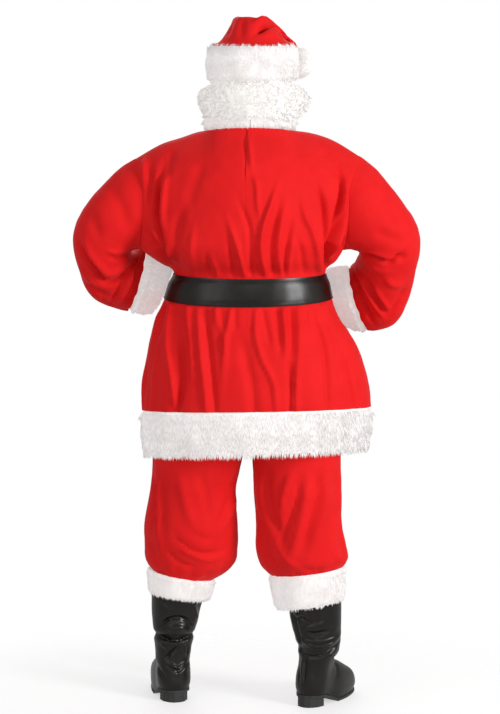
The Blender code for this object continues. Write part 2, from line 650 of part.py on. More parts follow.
def leg_place(side):
    rows = LEG_LEFT if side == "left" else LEG_RIGHT
    sign = -1 if side == "left" else 1
    middle_gap = sign * SEAM / 2

    def hips(turn, height):
        row = read(HIPS, height)
        half = -row.left if side == "left" else row.right
        depth = row.front if sin(turn) > 0 else row.back
        outer_side = max(0.0, cos(turn) * sign)
        x = middle_gap + sign * half * outer_side
        return Vector((x, depth * sin(turn), drooped(turn, height)))

    def round_leg(turn, height):
        row = read(rows, height)
        x = (row.outer + row.inner) / 2 + abs(row.outer - row.inner) / 2 * cos(turn)
        tilt = row.tilt * cos(turn)
        return Vector((x, row.middle + row.depth * sin(turn), height + tilt))

    def place(turn, height):
        if height >= SEAT_SEAM_END:
            point = hips(turn, height)
            inner_side = max(0.0, -cos(turn) * sign)
            drop = CROTCH_DROP * (1 - abs(sin(turn))) if inner_side > 0 else 0
            return point - Vector((0, 0, drop))
        share = 1 - ease(height, TUCK_FULL, SEAT_SEAM_END)
        top = place(turn, SEAT_SEAM_END)
        lower = round_leg(turn, height)
        lowered = Vector((top.x, top.y, top.z + (height - SEAT_SEAM_END)
                          * (top.z - TUCK_FULL) / (SEAT_SEAM_END - TUCK_FULL)))
        return lowered.lerp(lower, share)

    return place


def make_leg(side):
    place = leg_place(side)
    sign = -1 if side == "left" else 1
    rows = LEG_LEFT if side == "left" else LEG_RIGHT
    heights = [rows[0].height, rows[1].height, rows[2].height, 437, 480, 530, 585, 640, TUCK_FULL,
               745, SEAT_SEAM_END, 870, 950, 1040, BELT_LEVELS[0] - SEAM]
    turns = spread(0, 360, LEG_COLUMNS)[:-1]

    def keep(turn, height):
        middle_turn = turn + 180 / LEG_COLUMNS
        return height < SEAT_SEAM_END or cos(middle_turn) * sign > 0

    wall(f"trouser_leg_{side}", place, turns, heights, "red_cloth", around=True, keep=keep)


def make_leg_fur(side):
    rows = LEG_FUR_LEFT if side == "left" else LEG_FUR_RIGHT
    sign = -1 if side == "left" else 1

    def place(turn, share, inward):
        row = read(rows, share)
        thick = LEG_FUR_THICK + (LEG_FUR_THIN - LEG_FUR_THICK) * max(0.0, sign * cos(turn))
        out = -inward * thick / LEG_FUR_PROFILE[0][1]
        middle = (row.outer + row.inner) / 2
        half = abs(row.outer - row.inner) / 2
        z = row.height + row.tilt * cos(turn)
        return Vector((middle + (half + out) * cos(turn), row.middle + (row.depth + out) * sin(turn), z))

    turns = spread(0, 360, LEG_COLUMNS)[:-1]
    band(f"leg_fur_{side}", place, turns, LEG_FUR_PROFILE, "white_fur")


# ---------------------------------------------------------------- boots

def sole_drop(ahead):
    """How far the sole lies below the heel's seat, by the distance ahead of the ankle."""
    lift = max(0.0, ahead - TOE_LIFT_START) / (FOOT_LENGTH - TOE_LIFT_START)
    return -(SOLE_TOP - SOLE_THICK) * ease(ahead, ARCH[0], ARCH[2]) + TOE_LIFT * lift ** 2


def boot_turns():
    """The boot's columns; some stand where its sole bends."""
    bends = [math.degrees(math.asin(ahead / FOOT_LENGTH)) for ahead in ARCH]
    front = bends + [42.0, 66.0]
    heel = spread(180, 360, 8)[1:-1]
    return front + [90.0] + [180 - turn for turn in reversed(front)] + heel


def foot_turned(across, ahead, row, side):
    """World x and y of a point given across and ahead of the ankle."""
    toe_out = -row.toe_out if side == "right" else row.toe_out
    x = across * cos(toe_out) - ahead * sin(toe_out)
    y = across * sin(toe_out) + ahead * cos(toe_out)
    return row.across + x, row.middle + y


def boot_place(side):
    rows = BOOT_LEFT if side == "left" else BOOT_RIGHT

    def place(turn, height):
        row = read(rows, height)
        ahead = (row.front if sin(turn) > 0 else row.back) * sin(turn)
        long_foot = ease(row.front, 70, 150)
        toe_round = 1 - 0.14 * long_foot * max(0.0, sin(turn)) ** 2
        waist = 1 - 0.10 * long_foot * math.exp(-((ahead - 35) / 30) ** 2)
        belly = abs(cos(turn)) ** (1 - 0.35 * long_foot * (sin(turn) > 0))
        across = row.half_width * math.copysign(belly, cos(turn)) * toe_round * waist
        x, y = foot_turned(across, ahead, row, side)
        lower = sole_drop(ahead) * (1 - ease(height, SOLE_TOP, FOOT_FADE))
        return Vector((x, y, height + lower))

    return place


def foot_width(row, ahead):
    """Half width of the foot's outline, by the distance ahead of the ankle."""
    reach = row.front if ahead > 0 else row.back
    share = min(1.0, abs(ahead) / reach)
    power = 0.65 if ahead > 0 else 1.0
    round_end = (1 - share ** 2) ** (power / 2)
    taper = 1 - 0.14 * (share ** 2 if ahead > 0 else 0)
    return row.half_width * round_end * taper * (1 - 0.10 * math.exp(-((ahead - 35) / 30) ** 2))


def make_boot(side):
    rows = BOOT_LEFT if side == "left" else BOOT_RIGHT
    heights = [row.height for row in rows]
    wall(f"boot_upper_{side}", boot_place(side), boot_turns(), heights, "black_vinyl", thick=VINYL,
         around=True)
    seat = rows[0]
    welt = seat._replace(half_width=seat.half_width + SOLE_EDGE, back=seat.back + SOLE_EDGE,
                         front=seat.front + SOLE_EDGE)

    def plate(name, top, stations, thick, inset=0.0):
        outline = welt._replace(half_width=welt.half_width - inset)

        def place(share, ahead):
            x, y = foot_turned(share * foot_width(outline, ahead), ahead, welt, side)
            return Vector((x, y, top + sole_drop(ahead)))

        wall(name, place, spread(-1, 1, 4), stations, "black_rubber", thick=thick)

    plate(f"boot_sole_{side}", SOLE_TOP, SOLE_STATIONS, SOLE_THICK)
    heel_top = SOLE_TOP - SOLE_THICK - SEAM
    plate(f"boot_heel_{side}", heel_top, [at for at in SOLE_STATIONS if at <= ARCH[0]], heel_top,
          HEEL_INSET)


# ---------------------------------------------------------------- the whole suit

def main():
    for old in list(bpy.data.objects):
        bpy.data.objects.remove(old)
    neck = bpy.data.objects.new("neck_opening", None)
    neck.location = (0, 0, -NECK_HEIGHT * MM)
    bpy.context.scene.collection.objects.link(neck)
    make_panels()
    make_hem_fur()
    make_collar()
    make_belt()
    make_buckle()
    make_hat()
    make_pompom()
    make_wig()
    make_waistband()
    for side in ("left", "right"):
        make_sleeve(side)
        make_leg(side)
        make_leg_fur(side)
        make_boot(side)


main()
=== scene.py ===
"""Looks of the santa suit: folded cloth, plush trim, curls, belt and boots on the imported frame.

Lengths in the tables are millimetres, and heights are measured from the floor. The wearer faces
+Y. A turn is in degrees seen from above: 0 at the wearer's right, 90 in front, 270 behind.
"""
import math
from collections import namedtuple

import bmesh
import bpy
import numpy as np
from mathutils import Matrix, Vector, noise


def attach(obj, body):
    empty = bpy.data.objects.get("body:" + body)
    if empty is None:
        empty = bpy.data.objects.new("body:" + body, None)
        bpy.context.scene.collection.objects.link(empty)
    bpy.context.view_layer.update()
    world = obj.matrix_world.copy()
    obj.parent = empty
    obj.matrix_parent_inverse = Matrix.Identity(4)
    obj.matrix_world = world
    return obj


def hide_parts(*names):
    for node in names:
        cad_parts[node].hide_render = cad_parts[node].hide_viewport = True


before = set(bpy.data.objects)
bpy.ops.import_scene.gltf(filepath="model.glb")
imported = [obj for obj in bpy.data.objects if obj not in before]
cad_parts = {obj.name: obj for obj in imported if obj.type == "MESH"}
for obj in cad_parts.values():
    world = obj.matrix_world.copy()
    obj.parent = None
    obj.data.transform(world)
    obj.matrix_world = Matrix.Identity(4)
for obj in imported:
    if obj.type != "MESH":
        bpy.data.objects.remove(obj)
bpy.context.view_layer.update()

MM = 0.001
NECK_HEIGHT = 1568.0       # the frame's origin lies this high above the floor
VINYL = 3.0                # wall of the boots
SEAM = 0.3                 # space between neighbouring pieces
SIGN = {"left": -1, "right": 1}      # the way along X in which a side lies

# ---------------- sizes of the suit

def rows_of(kind, *lines):
    """A table of rows with named columns."""
    return tuple(kind(*line) for line in lines)


def rings_of(*lines):
    """A tube's rings, one step apart."""
    return tuple(Ring(step, *line) for step, line in enumerate(lines))


Section = namedtuple("Section", "height left right back front")
JACKET_SECTIONS = rows_of(Section,
    (680, -280, 317, 204, 229), (750, -284, 323, 206, 231), (818, -286, 326, 205, 230),
    (891, -285, 318, 200, 225), (977, -270, 295, 190, 215), (1026, -261, 270, 183, 207),
    (1064, -251, 245, 175, 200), (1099, -234, 230, 165, 183), (1120, -223, 224, 158, 177),
    (1156, -211, 216, 151, 176), (1186, -200, 208, 148, 176), (1215, -244, 236, 170, 187),
    (1245, -289, 256, 185, 200))
ARMPIT = 1245.0
HEM_SEAM = 824.5
HEM_BOTTOM = 700.0
HEM_TILT = 4.0       # its lower edge rises this much more to the wearer's right

Chest = namedtuple("Chest", "share left right back front")
CHEST = rows_of(Chest,  # share 0 at the armpit, 1 at the shoulder seam
    (0.0, -289, 256, 185, 200), (0.2, -282, 263, 190, 206), (0.4, -278, 266, 188, 202),
    (0.6, -280, 268, 176, 190), (0.8, -290, 284, 148, 160), (1.0, -305, 304, 86, 92))
ARMHOLE_DEPTH = 92.0
SHOULDER_SPACE = 0.4

Shoulder = namedtuple("Shoulder", "across height")
SHOULDER_LINE = rows_of(Shoulder,
    (-305, 1488), (-235, 1528), (-181, 1546), (-121, 1564), (5, 1568), (119, 1565), (176, 1557),
    (232, 1537), (304, 1493))
NECK_MIDDLE, NECK_HALF = 5.0, 114.0
FRONT_NECK_DROP = 45.0
COLLAR_TOP = 1601.7
COLLAR_EASE = 1.2    # more space under the collar at the sides, where the shoulders slope

Flute = namedtuple("Flute", "turn width under_belt at_hem")
SKIRT_FLUTES = rows_of(Flute,  # soft standing folds of the skirt, their widths in degrees
    (8, 17, 3, 10), (27, 18, 5, 13), (46, 17, 6, 10), (63, 16, 5, 14), (81, 17, 6, 10),
    (99, 17, 5, 12), (117, 18, 6, 14), (135, 17, 5, 9), (153, 18, 5, 13), (171, 17, 3, 10),
    (196, 18, 4, 12), (220, 16, 6, 15), (238, 15, 7, 11), (254, 14, 6, 8), (268, 14, 5, 10),
    (284, 15, 6, 9), (300, 15, 7, 14), (317, 16, 6, 11), (337, 18, 4, 14), (354, 16, 3, 9))
FLUTE_TOP, FLUTE_FULL = 1100.0, 860.0

Droop = namedtuple("Droop", "level back right")
LEVEL_DROOP = rows_of(Droop,  # how much lower a level is behind, and higher at the right
    (690, -10.5, 4.5), (830, -10.5, 4.5), (960, 0, 0), (1119, 19, 0), (1184, 12, 0), (1245, 0, 0))

# A sleeve section runs from its outer point to its inner point, both seen from the back;
# middle is how far forward it lies and depth is half of its size front to back.
Ring = namedtuple("Ring", "step outer_x outer_z inner_x inner_z middle depth")
SLEEVES = {
    "left": rings_of(
        (-305, 1488, -289, 1245, 0, 92), (-343, 1463, -297, 1247, 0, 96),
        (-386, 1421, -305, 1245, 2, 98), (-425, 1378, -311, 1242, 5, 98),
        (-456, 1330, -315, 1239, 9, 96), (-471, 1280, -317, 1236, 15, 92),
        (-468, 1234, -315, 1231, 27, 88), (-458, 1191, -310, 1228, 42, 84),
        (-446, 1148, -304, 1230, 58, 80), (-423, 1113, -299, 1236, 74, 76),
        (-394, 1094, -297, 1243, 89, 73), (-362, 1082, -293, 1249, 103, 72),
        (-333, 1077, -285, 1251, 117, 71), (-308, 1074, -260, 1242, 138, 68),
        (-285, 1072, -232, 1226, 158, 64), (-262, 1070, -203, 1211, 177, 60)),
    "right": rings_of(
        (304, 1493, 256, 1245, 0, 92), (345, 1459, 266, 1246, 0, 96),
        (381, 1416, 275, 1246, 2, 98), (414, 1373, 283, 1244, 5, 98),
        (445, 1331, 290, 1243, 10, 96), (462, 1285, 295, 1242, 17, 92),
        (463, 1240, 299, 1239, 28, 88), (456, 1193, 301, 1237, 42, 84),
        (447, 1148, 302, 1235, 57, 81), (436, 1104, 302, 1232, 72, 79),
        (420, 1064, 300, 1227, 88, 77), (396, 1035, 297, 1218, 104, 76),
        (362, 1022, 291, 1206, 120, 75), (336, 1020, 282, 1195, 137, 74),
        (313, 1023, 263, 1190, 156, 72), (293, 1027, 239, 1186, 174, 70),
        (274, 1031, 213, 1181, 191, 67))}
SLEEVE_TWIST, SLEEVE_TWIST_END = 0.7, 0.35   # how far sections turn to face along the arm
SLEEVE_CLOTH_END = {"left": 12, "right": 13}
CUFF_START, CUFF_STEPS = 0.08, 2.9

HAT_MIDDLE, BAND_BOTTOM, BAND_HEIGHT, BAND_TILT = 12.0, 1693.0, 98.0, 12.0
BAND_INNER_ACROSS, BAND_INNER_DEEP = 104.0, 101.0
BAND_PROFILE = (     # share of the band's height, and out from its inner face
    (0.0, 0), (0.0, 13), (0.12, 21), (0.5, 24), (0.88, 20), (1.0, 12), (1.0, 0),
)
HAT_LEAN = 44.0      # the cone folds over towards this turn
HAT_CROWN = rings_of(  # measured along the lean from the hat's middle
    (-111, 1791, 111, 1791, 0, 108), (-88, 1799, 101, 1797, 0, 94), (-71, 1824, 92, 1805, 0, 78),
    (-57, 1847, 86, 1811, 0, 68), (-43, 1861, 82, 1815, 0, 60), (-16, 1861, 80, 1818, 0, 53),
    (18, 1861, 81, 1820, 0, 46), (50, 1854, 85, 1818, 0, 40), (79, 1842, 92, 1814, 0, 34),
    (106, 1828, 102, 1808, 0, 28), (132, 1816, 118, 1800, 0, 22), (153, 1807, 139, 1793, 0, 16))
POMPOM_AT, POMPOM_RADIUS = (137.0, 121.0, 1752.0), 36.0

Wig = namedtuple("Wig", "height half_width depth")
WIG = rows_of(Wig,
    (1602, 116, 112), (1624, 132, 126), (1650, 139, 134), (1668, 126, 122), (1680, 103.4, 100.4),
    (1730, 103.4, 100.4), (1766, 99, 96), (1782, 86, 84), (1792, 65, 64), (1798, 38, 37))
WIG_TOP = 1801.0
WIG_FACE_EDGE = 1690.0
WIG_FACE = (30, 150)  # turns between which the face is open
CURLS, CURL_DEPTH = 7, 5.0
CURLS_RISE, CURLS_END = (1602, 1620), (1655, 1676)     # heights where curls grow and fade

BELT_LEVELS = (1119.0, 1151.5, 1184.0)
BELT_OUT, BELT_THICK = 0.5, 3.6
BUCKLE_AT, BUCKLE_FACE = 1152.0, 186.0
BUCKLE_ACROSS = (-46.0, -35.0, -4.0, 4.0, 35.0, 46.0)
BUCKLE_UP = (-44.0, -35.0, 35.0, 44.0)
BUCKLE_THICK, PRONG_THICK = 4.0, 3.0
PRONG_ACROSS, PRONG_UP = (-46.0, 0.0, 4.0), (-3.0, 3.0)

HIPS = rows_of(Section,
    (800, -260, 250, 136, 148), (860, -257, 248, 146, 158), (950, -246, 240, 152, 168),
    (1040, -229, 227, 155, 174), (1119, -220.3, 220.6, 154.6, 173.6))
SEAT_SEAM_END, CROTCH_DROP = 800.0, 48.0

Leg = namedtuple("Leg", "height outer inner depth middle tilt")
LEGS = {
    "left": rows_of(Leg,  # tilt raises a section's +X side
        (358, -269, -92, 86, 62, -16), (373, -279, -62, 95, 59, -14),
        (396, -284, -35, 102, 54, -9), (432, -285, -29, 106, 46, -3), (502, -283, -29, 108, 32, 0),
        (589, -268, -34, 110, 18, 0), (672, -260, -17, 116, 6, 0), (750, -260, -6, 128, 0, 0),
        (800, -260, -2, 136, 0, 0)),
    "right": rows_of(Leg,
        (379, 263, 54, 88, 8, 12), (392, 271, 39, 96, 6, 11), (408, 272, 29, 102, 3, 8),
        (440, 267, 21, 106, 0, 3), (502, 255, 22, 108, -3, 0), (589, 254, 16, 112, -3, 0),
        (672, 251, 11, 118, 0, 0), (750, 251, 5, 128, 0, 0), (800, 250, 2, 136, 0, 0))}
TUCK_FULL = 690.0    # below this height a leg is a full round tube

Cuff = namedtuple("Cuff", "share height outer inner depth middle tilt")
LEG_FURS = {
    "left": rows_of(Cuff,
        (0, 293, -277, -99, 90, 62, -12), (1, 357.2, -281, -86, 95, 62, -16)),
    "right": rows_of(Cuff,
        (0, 283, 265, 68, 93, 6, 13), (1, 378.2, 268, 50, 98, 8, 12))}
LEG_FUR_PROFILE = (  # share of the height, and in from the outer face
    (0.0, 13), (0.0, 5), (0.12, 1), (0.5, 0), (0.88, 1), (1.0, 5), (1.0, 13),
)
LEG_FUR_THIN, LEG_FUR_THICK = 8.0, 15.0

Boot = namedtuple("Boot", "height half_width back front across middle toe_out")
BOOTS = {
    "left": rows_of(Boot,
        (34.0, 43, 47, 178, -208, 74, 16), (50, 47, 52, 180, -208, 74, 16),
        (75, 48, 51, 168, -208, 74, 16), (95, 47, 50, 126, -208, 74, 14),
        (112, 47, 48, 90, -209, 74, 10), (130, 49, 47, 70, -208, 73, 5),
        (152, 51, 49, 57, -207, 72, 0), (172, 54, 52, 54, -206, 70, 0),
        (184, 51, 47, 50, -205, 69, 0), (200, 58, 58, 56, -204, 68, 0),
        (236, 65, 58, 60, -201, 66, 0), (290, 72, 69, 68.5, -195.2, 64, 0),
        (342, 74.5, 72.5, 72, -190.2, 62, 0)),
    "right": rows_of(Boot,
        (34.0, 42, 47, 178, 178, 16, 38), (50, 46, 51, 184, 178, 16, 38),
        (75, 47, 51, 168, 179, 16, 37), (95, 46, 50, 124, 181, 16, 34),
        (112, 46, 49, 90, 184, 15, 26), (130, 49, 49, 71, 188, 14, 14),
        (150, 56, 53, 60, 192, 12, 6), (166, 57, 55, 57, 194, 11, 0),
        (178, 61, 61, 60, 192.5, 10, 0), (196, 63, 58, 60, 190, 9, 0),
        (236, 69.5, 64, 65, 185, 8, 0), (290, 73, 70, 70, 181.1, 7, 0),
        (342, 74.5, 72, 72, 180.1, 6, 0))}
SOLE_TOP, SOLE_THICK = 33.2, 7.0
ARCH = (0.0, 32.0, 64.0)     # start, middle and end of the step down from the heel
TOE_LIFT_START, TOE_LIFT, FOOT_LENGTH, FOOT_FADE = 110.0, 7.0, 178.0, 110.0


# ---------------- folds
# A fold is a soft ridge (depth above 0) or trough (below 0) along a path of (across, height)
# points seen from behind. lean, from -1 to 1, makes one flank steep and the other gentle.
#
# The depths and the points of the paths were first picked. A script outside this file then turned
# them into millimetres, ran paths on under the belt and the hem, widened narrow folds and eased
# depths, and wrote these rows out, so they are its output and not the numbers picked.

Fold = namedtuple("Fold", "depth width lean path")
FOLD_WIDTH = 6.5


def folds_of(*lines):
    """Folds from rows of depth, then width and lean where they aren't usual, then the path."""
    folds = []
    for line in lines:
        depth, *more = [item for item in line if not isinstance(item, tuple)]
        width, lean = (*more, *(FOLD_WIDTH, 0)[len(more):])
        folds.append(Fold(depth, width, lean, [item for item in line if isinstance(item, tuple)]))
    return folds


FOLDS = {
    "jacket": folds_of(  # drawn in to the armholes and to the belt
        (-1.1, (-11, 1558), (-5, 1504), (3, 1436)),
        (2.3, (0, 1550), (5, 1496), (11, 1453)),
        (2.8, (11, 1447), (22, 1412), (24, 1372), (32, 1318)),
        (-3.3, 6.5, 0.2, (-30, 1385), (-3, 1323), (5, 1277), (8, 1188), (9, 1123)),
        (-9.9, 6.5, -0.4, (-221, 1482), (-232, 1431), (-238, 1377), (-239, 1336), (-232, 1296),
         (-219, 1242), (-200, 1196), (-186, 1123)),
        (3.6, (-211, 1458), (-219, 1404), (-224, 1336), (-216, 1280)),
        (3.6, (-273, 1498), (-278, 1442), (-275, 1385)),
        (-3.9, (-254, 1485), (-259, 1420), (-265, 1350)),
        (-7, 9, 0.2, (-278, 1307), (-259, 1274), (-235, 1237), (-211, 1199), (-193, 1123)),
        (3.9, (-259, 1318), (-235, 1274), (-208, 1220), (-188, 1123)),
        (-4.5, 12, (-167, 1364), (-186, 1296), (-189, 1188), (-190, 1123)),
        (2.5, 8, (-140, 1318), (-148, 1253), (-146, 1188), (-144, 1123)),
        (2.1, (-97, 1237), (-86, 1204), (-78, 1172), (-72, 1123)),
        (-2.3, (-111, 1242), (-103, 1210), (-94, 1172), (-89, 1123)),
        (4.1, (-59, 1345), (-35, 1277), (-16, 1215), (-8, 1174), (-2, 1123)),
        (-2.9, (-54, 1280), (-43, 1226), (-38, 1174), (-35, 1123)),
        (5.3, 6.5, 0.2, (78, 1426), (59, 1372), (38, 1310), (32, 1256), (43, 1188), (49, 1123)),
        (-3.2, (86, 1388), (70, 1323), (59, 1256), (65, 1188), (68, 1123)),
        (3.6, (100, 1377), (86, 1323), (78, 1256), (86, 1188), (91, 1123)),
        (-3.2, (116, 1339), (103, 1274), (97, 1210), (93, 1123)),
        (2.5, (119, 1291), (111, 1253), (105, 1210), (101, 1123)),
        (4.5, 7, (140, 1390), (146, 1336), (167, 1291), (186, 1215), (200, 1123)),
        (-2.9, (130, 1280), (140, 1237), (148, 1183), (154, 1123)),
        (-7, 6.5, 0.2, (173, 1431), (194, 1372), (205, 1291), (211, 1188), (213, 1123)),
        (-9.5, 6.5, 0.4, (235, 1472), (246, 1418), (240, 1372), (224, 1304), (213, 1215),
         (207, 1123)),
        (4.7, (251, 1453), (259, 1404), (251, 1358), (235, 1307)),
        (-7.8, (259, 1364), (232, 1291), (216, 1215), (204, 1123)),
        (3.1, (265, 1339), (243, 1277), (221, 1210), (206, 1123)),
        (-6, (273, 1307), (246, 1250), (219, 1196), (199, 1123)),
        (-2.5, 12, (189, 1517), (221, 1477), (235, 1431)),
        (-2.5, 12, (-194, 1512), (-211, 1469), (-216, 1426)),
        (-2, 16, (-116, 1485), (-140, 1418), (-157, 1350))),
    "skirt": folds_of(  # gathers under the belt, standing folds and the hem's seam
        (-2, (-126, 1156), (-124, 1091), (-122, 1048), (-116, 994)),
        (-1.8, (-75, 1156), (-73, 1088), (-70, 1048), (-65, 999)),
        (1.8, (-88, 1156), (-86, 1085), (-84, 1037)),
        (-1.8, (-37, 1156), (-35, 1085), (-32, 1026)),
        (2.9, (-88, 1156), (-78, 1075), (-65, 1026), (-57, 986)),
        (3.2, (-38, 1156), (-46, 1080), (-57, 1021), (-62, 967), (-68, 878)),
        (-3.6, (-117, 1156), (-111, 1075), (-100, 986), (-92, 902), (-86, 837), (-83, 772)),
        (4.5, 8, (-131, 1156), (-127, 1058), (-122, 972), (-113, 896), (-108, 832), (-105, 772)),
        (-3.5, 15, (-19, 1048), (-5, 967), (11, 891), (16, 826), (19, 772)),
        (3.7, 6.5, 0.2, (19, 1156), (19, 1080), (19, 1026), (35, 967), (65, 902), (73, 832),
         (77, 772)),
        (-2.5, (33, 1156), (40, 1083), (51, 1031), (59, 988)),
        (-3.1, (72, 1156), (76, 1083), (81, 1026), (84, 967)),
        (3.7, (88, 1156), (92, 1083), (97, 1021), (97, 945)),
        (-3.3, (113, 1156), (113, 1083), (113, 1015), (108, 950)),
        (-4, 7, (103, 972), (113, 913), (113, 832), (113, 772)),
        (3.9, (132, 1156), (132, 1075), (132, 986), (124, 896), (124, 832), (124, 772)),
        (-1.6, (150, 1156), (154, 1088), (159, 1031)),
        (-3.4, 6.5, 0.1, (159, 1156), (173, 1080), (192, 1021), (205, 945), (208, 832),
         (209, 772)),
        (3, 8, (187, 1156), (200, 1091), (227, 1010), (238, 929)),
        (-3.5, (251, 983), (259, 934), (275, 859), (287, 772)),
        (-2.3, (289, 940), (300, 880), (302, 832), (304, 772)),
        (5.2, (-202, 1156), (-205, 1083), (-211, 1004), (-202, 929), (-189, 832), (-184, 772)),
        (-7, 8, -0.3, (-181, 1026), (-173, 967), (-173, 891), (-189, 815), (-195, 772)),
        (-6, 8, (-218, 1156), (-227, 1099), (-240, 1048), (-254, 983)),
        (3, 8, (-238, 986), (-246, 918), (-251, 837), (-254, 772)),
        (-2.5, 7, (-270, 967), (-275, 907), (-284, 832), (-287, 772)),
        (3, 7, (-162, 1156), (-157, 1064), (-148, 986), (-146, 891)),
        (-1.1, (-294, 826), (-184, 818), (-5, 821), (167, 829), (332, 840))),
    "sleeve_left": folds_of(  # the bend of the elbow and the gather into the cuff
        (-9.8, 6, 0.45, (-456, 1285), (-437, 1231), (-405, 1183), (-381, 1153), (-343, 1161),
         (-313, 1193), (-292, 1237)),
        (4.5, 8, (-443, 1296), (-424, 1245), (-394, 1202), (-375, 1183), (-346, 1191),
         (-319, 1220)),
        (-3, 5, (-370, 1231), (-346, 1222), (-316, 1239)),
        (2.2, 6, (-378, 1247), (-351, 1239), (-324, 1253)),
        (-6, 8, (-443, 1153), (-405, 1131), (-367, 1115)),
        (5.2, 6, (-356, 1099), (-332, 1145), (-302, 1215)),
        (-5.2, 5, (-375, 1099), (-351, 1131), (-321, 1188)),
        (3, 6, (-454, 1210), (-427, 1169), (-392, 1137)),
        (-2.2, 6, (-402, 1118), (-383, 1099), (-356, 1085)),
        (-2.2, 16, (-378, 1423), (-335, 1364), (-316, 1280)),
        (-2.2, 7, (-270, 1458), (-262, 1390), (-265, 1307)),
        (-3.8, 4, (-308, 1158), (-302, 1196), (-292, 1234)),
        (-2.2, 14, (-421, 1364), (-405, 1310), (-389, 1269))),
    "sleeve_right": folds_of(  # the same on the other arm
        (-6.8, 5, 0.2, (294, 1234), (319, 1230), (343, 1223), (375, 1210), (397, 1226),
         (421, 1245)),
        (3, 3.5, (297, 1243), (338, 1235), (373, 1223), (394, 1238)),
        (-4.5, 8, (389, 1231), (408, 1223), (421, 1237)),
        (4.5, 4, (289, 1207), (310, 1158), (340, 1102), (370, 1053)),
        (-6, 5, (285, 1193), (298, 1134), (325, 1075), (348, 1034)),
        (-5.2, 6, (313, 1172), (348, 1110), (378, 1061)),
        (3, 6, (332, 1158), (367, 1104), (394, 1072)),
        (-5.2, 9, (432, 1150), (405, 1099), (373, 1053)),
        (3, 8, (364, 1172), (392, 1150), (418, 1158)),
        (-2.2, 14, (332, 1293), (373, 1280), (416, 1269)),
        (-2.2, 4, (300, 1472), (281, 1426), (267, 1377), (262, 1318)),
        (-3, 4, (286, 1156), (286, 1112), (305, 1064)),
        (-2.2, 12, (335, 1404), (367, 1361), (400, 1307)),
        (2.2, 8, (319, 1210), (351, 1188), (389, 1193))),
    "leg_left": folds_of(  # side seam, knee drag and the bag over the cuff
        (3.5, 3.5, (-243, 680), (-243, 567), (-244, 486), (-238, 416)),
        (-3.5, 4, (-255, 653), (-255, 567), (-259, 481)),
        (-2.8, 5, (-230, 659), (-227, 554), (-227, 446)),
        (3.5, 5, (-19, 626), (-40, 554), (-70, 494), (-100, 437)),
        (-3.5, 7, (-32, 659), (-54, 567), (-86, 491)),
        (-3.5, 5, 0.2, (-208, 494), (-173, 454), (-122, 429), (-59, 437)),
        (2.8, 5, (-197, 470), (-159, 432), (-103, 410), (-40, 432)),
        (-2.8, 6, (-224, 451), (-186, 405), (-127, 386)),
        (2.8, 10, (-184, 659), (-167, 567), (-138, 491)),
        (-2.8, 10, (-130, 670), (-111, 580), (-100, 502)),
        (2.8, 7, (-76, 675), (-81, 610)),
        (-2.1, 6, (-159, 502), (-122, 473), (-78, 470)),
        (-1.8, 4, (-194, 405), (-189, 367)),
        (-1.8, 4, (-151, 392), (-148, 356)),
        (-1.8, 4, (-105, 386), (-111, 351)),
        (-2.1, 5, (-59, 405), (-70, 370)),
        (-2.1, 5, (-275, 473), (-259, 432), (-243, 389))),
    "leg_right": folds_of(  # long drags from the hip
        (-4.9, 9, (57, 675), (49, 608), (65, 540), (97, 454)),
        (2.8, 8, (35, 648), (35, 567), (57, 486)),
        (4.2, 7, (116, 667), (94, 594), (86, 526)),
        (-4.2, 7, (140, 675), (130, 594), (103, 513), (84, 440)),
        (4.2, 7, (162, 653), (148, 567), (130, 486), (105, 405)),
        (-4.9, 7, (189, 672), (184, 594), (162, 513), (135, 427)),
        (4.2, 7, (213, 667), (208, 580), (186, 500), (154, 410)),
        (-4.2, 6, (235, 670), (238, 567), (221, 486), (189, 400)),
        (-2.8, 5, (248, 567), (248, 486), (262, 416)),
        (-2.8, 6, (35, 486), (57, 427), (94, 386)),
        (2.8, 5, (73, 473), (97, 427), (140, 392)),
        (-2.1, 5, (140, 405), (173, 389), (221, 400)),
        (-1.8, 4, (130, 389), (132, 359)),
        (-1.8, 4, (189, 397), (194, 367)),
        (2.1, 6, (227, 459), (238, 427), (256, 400))),
    "hat": folds_of(  # where the cone is folded over
        (-15, 5, 0.3, (16, 1809), (38, 1825), (59, 1836), (78, 1839), (103, 1825), (116, 1806)),
        (5, 7, (5, 1836), (32, 1850), (59, 1858), (92, 1844), (113, 1825)),
        (-6, 7, (78, 1820), (97, 1812), (116, 1798)),
        (3, 6, (38, 1809), (59, 1814), (76, 1804)),
        (-3, 9, (-43, 1863), (-51, 1836), (-59, 1804)),
        (-2.5, 8, (-11, 1858), (-16, 1828), (-14, 1798))),
    "boot_left": folds_of(  # ankle creases
        (-4.5, 4, 0.3, (-251, 197), (-235, 221), (-216, 235), (-194, 239), (-173, 234),
         (-157, 219), (-143, 197)),
        (-6.8, 3.2, 0.3, (-262, 189), (-238, 180), (-205, 174), (-170, 178), (-138, 194)),
        (3, 7, (-224, 208), (-194, 213), (-167, 208)),
        (2.6, 2.6, (-235, 117), (-211, 105), (-192, 97), (-178, 105), (-162, 116)),
        (-3, 3, (-232, 108), (-211, 97), (-192, 88), (-173, 100), (-159, 108)),
        (-3.4, 4, (-232, 116), (-211, 138), (-186, 162)),
        (2.2, 2.6, (-240, 170), (-230, 157), (-208, 146)),
        (-3, 5, (-262, 108), (-246, 84), (-224, 65)),
        (-2.2, 3, (-173, 170), (-165, 148), (-170, 124)),
        (-1.9, 5, (-238, 281), (-221, 262), (-194, 254)),
        (2.2, 4, (-154, 281), (-146, 254), (-140, 221)),
        (-2.2, 4, (-138, 286), (-132, 254), (-138, 221))),
    "boot_right": folds_of(  # ankle creases
        (-4.5, 4, (119, 265), (126, 238), (134, 205), (146, 167)),
        (2.2, 3, (130, 256), (148, 265), (165, 254)),
        (-3, 3, (124, 248), (146, 251), (165, 243), (184, 259)),
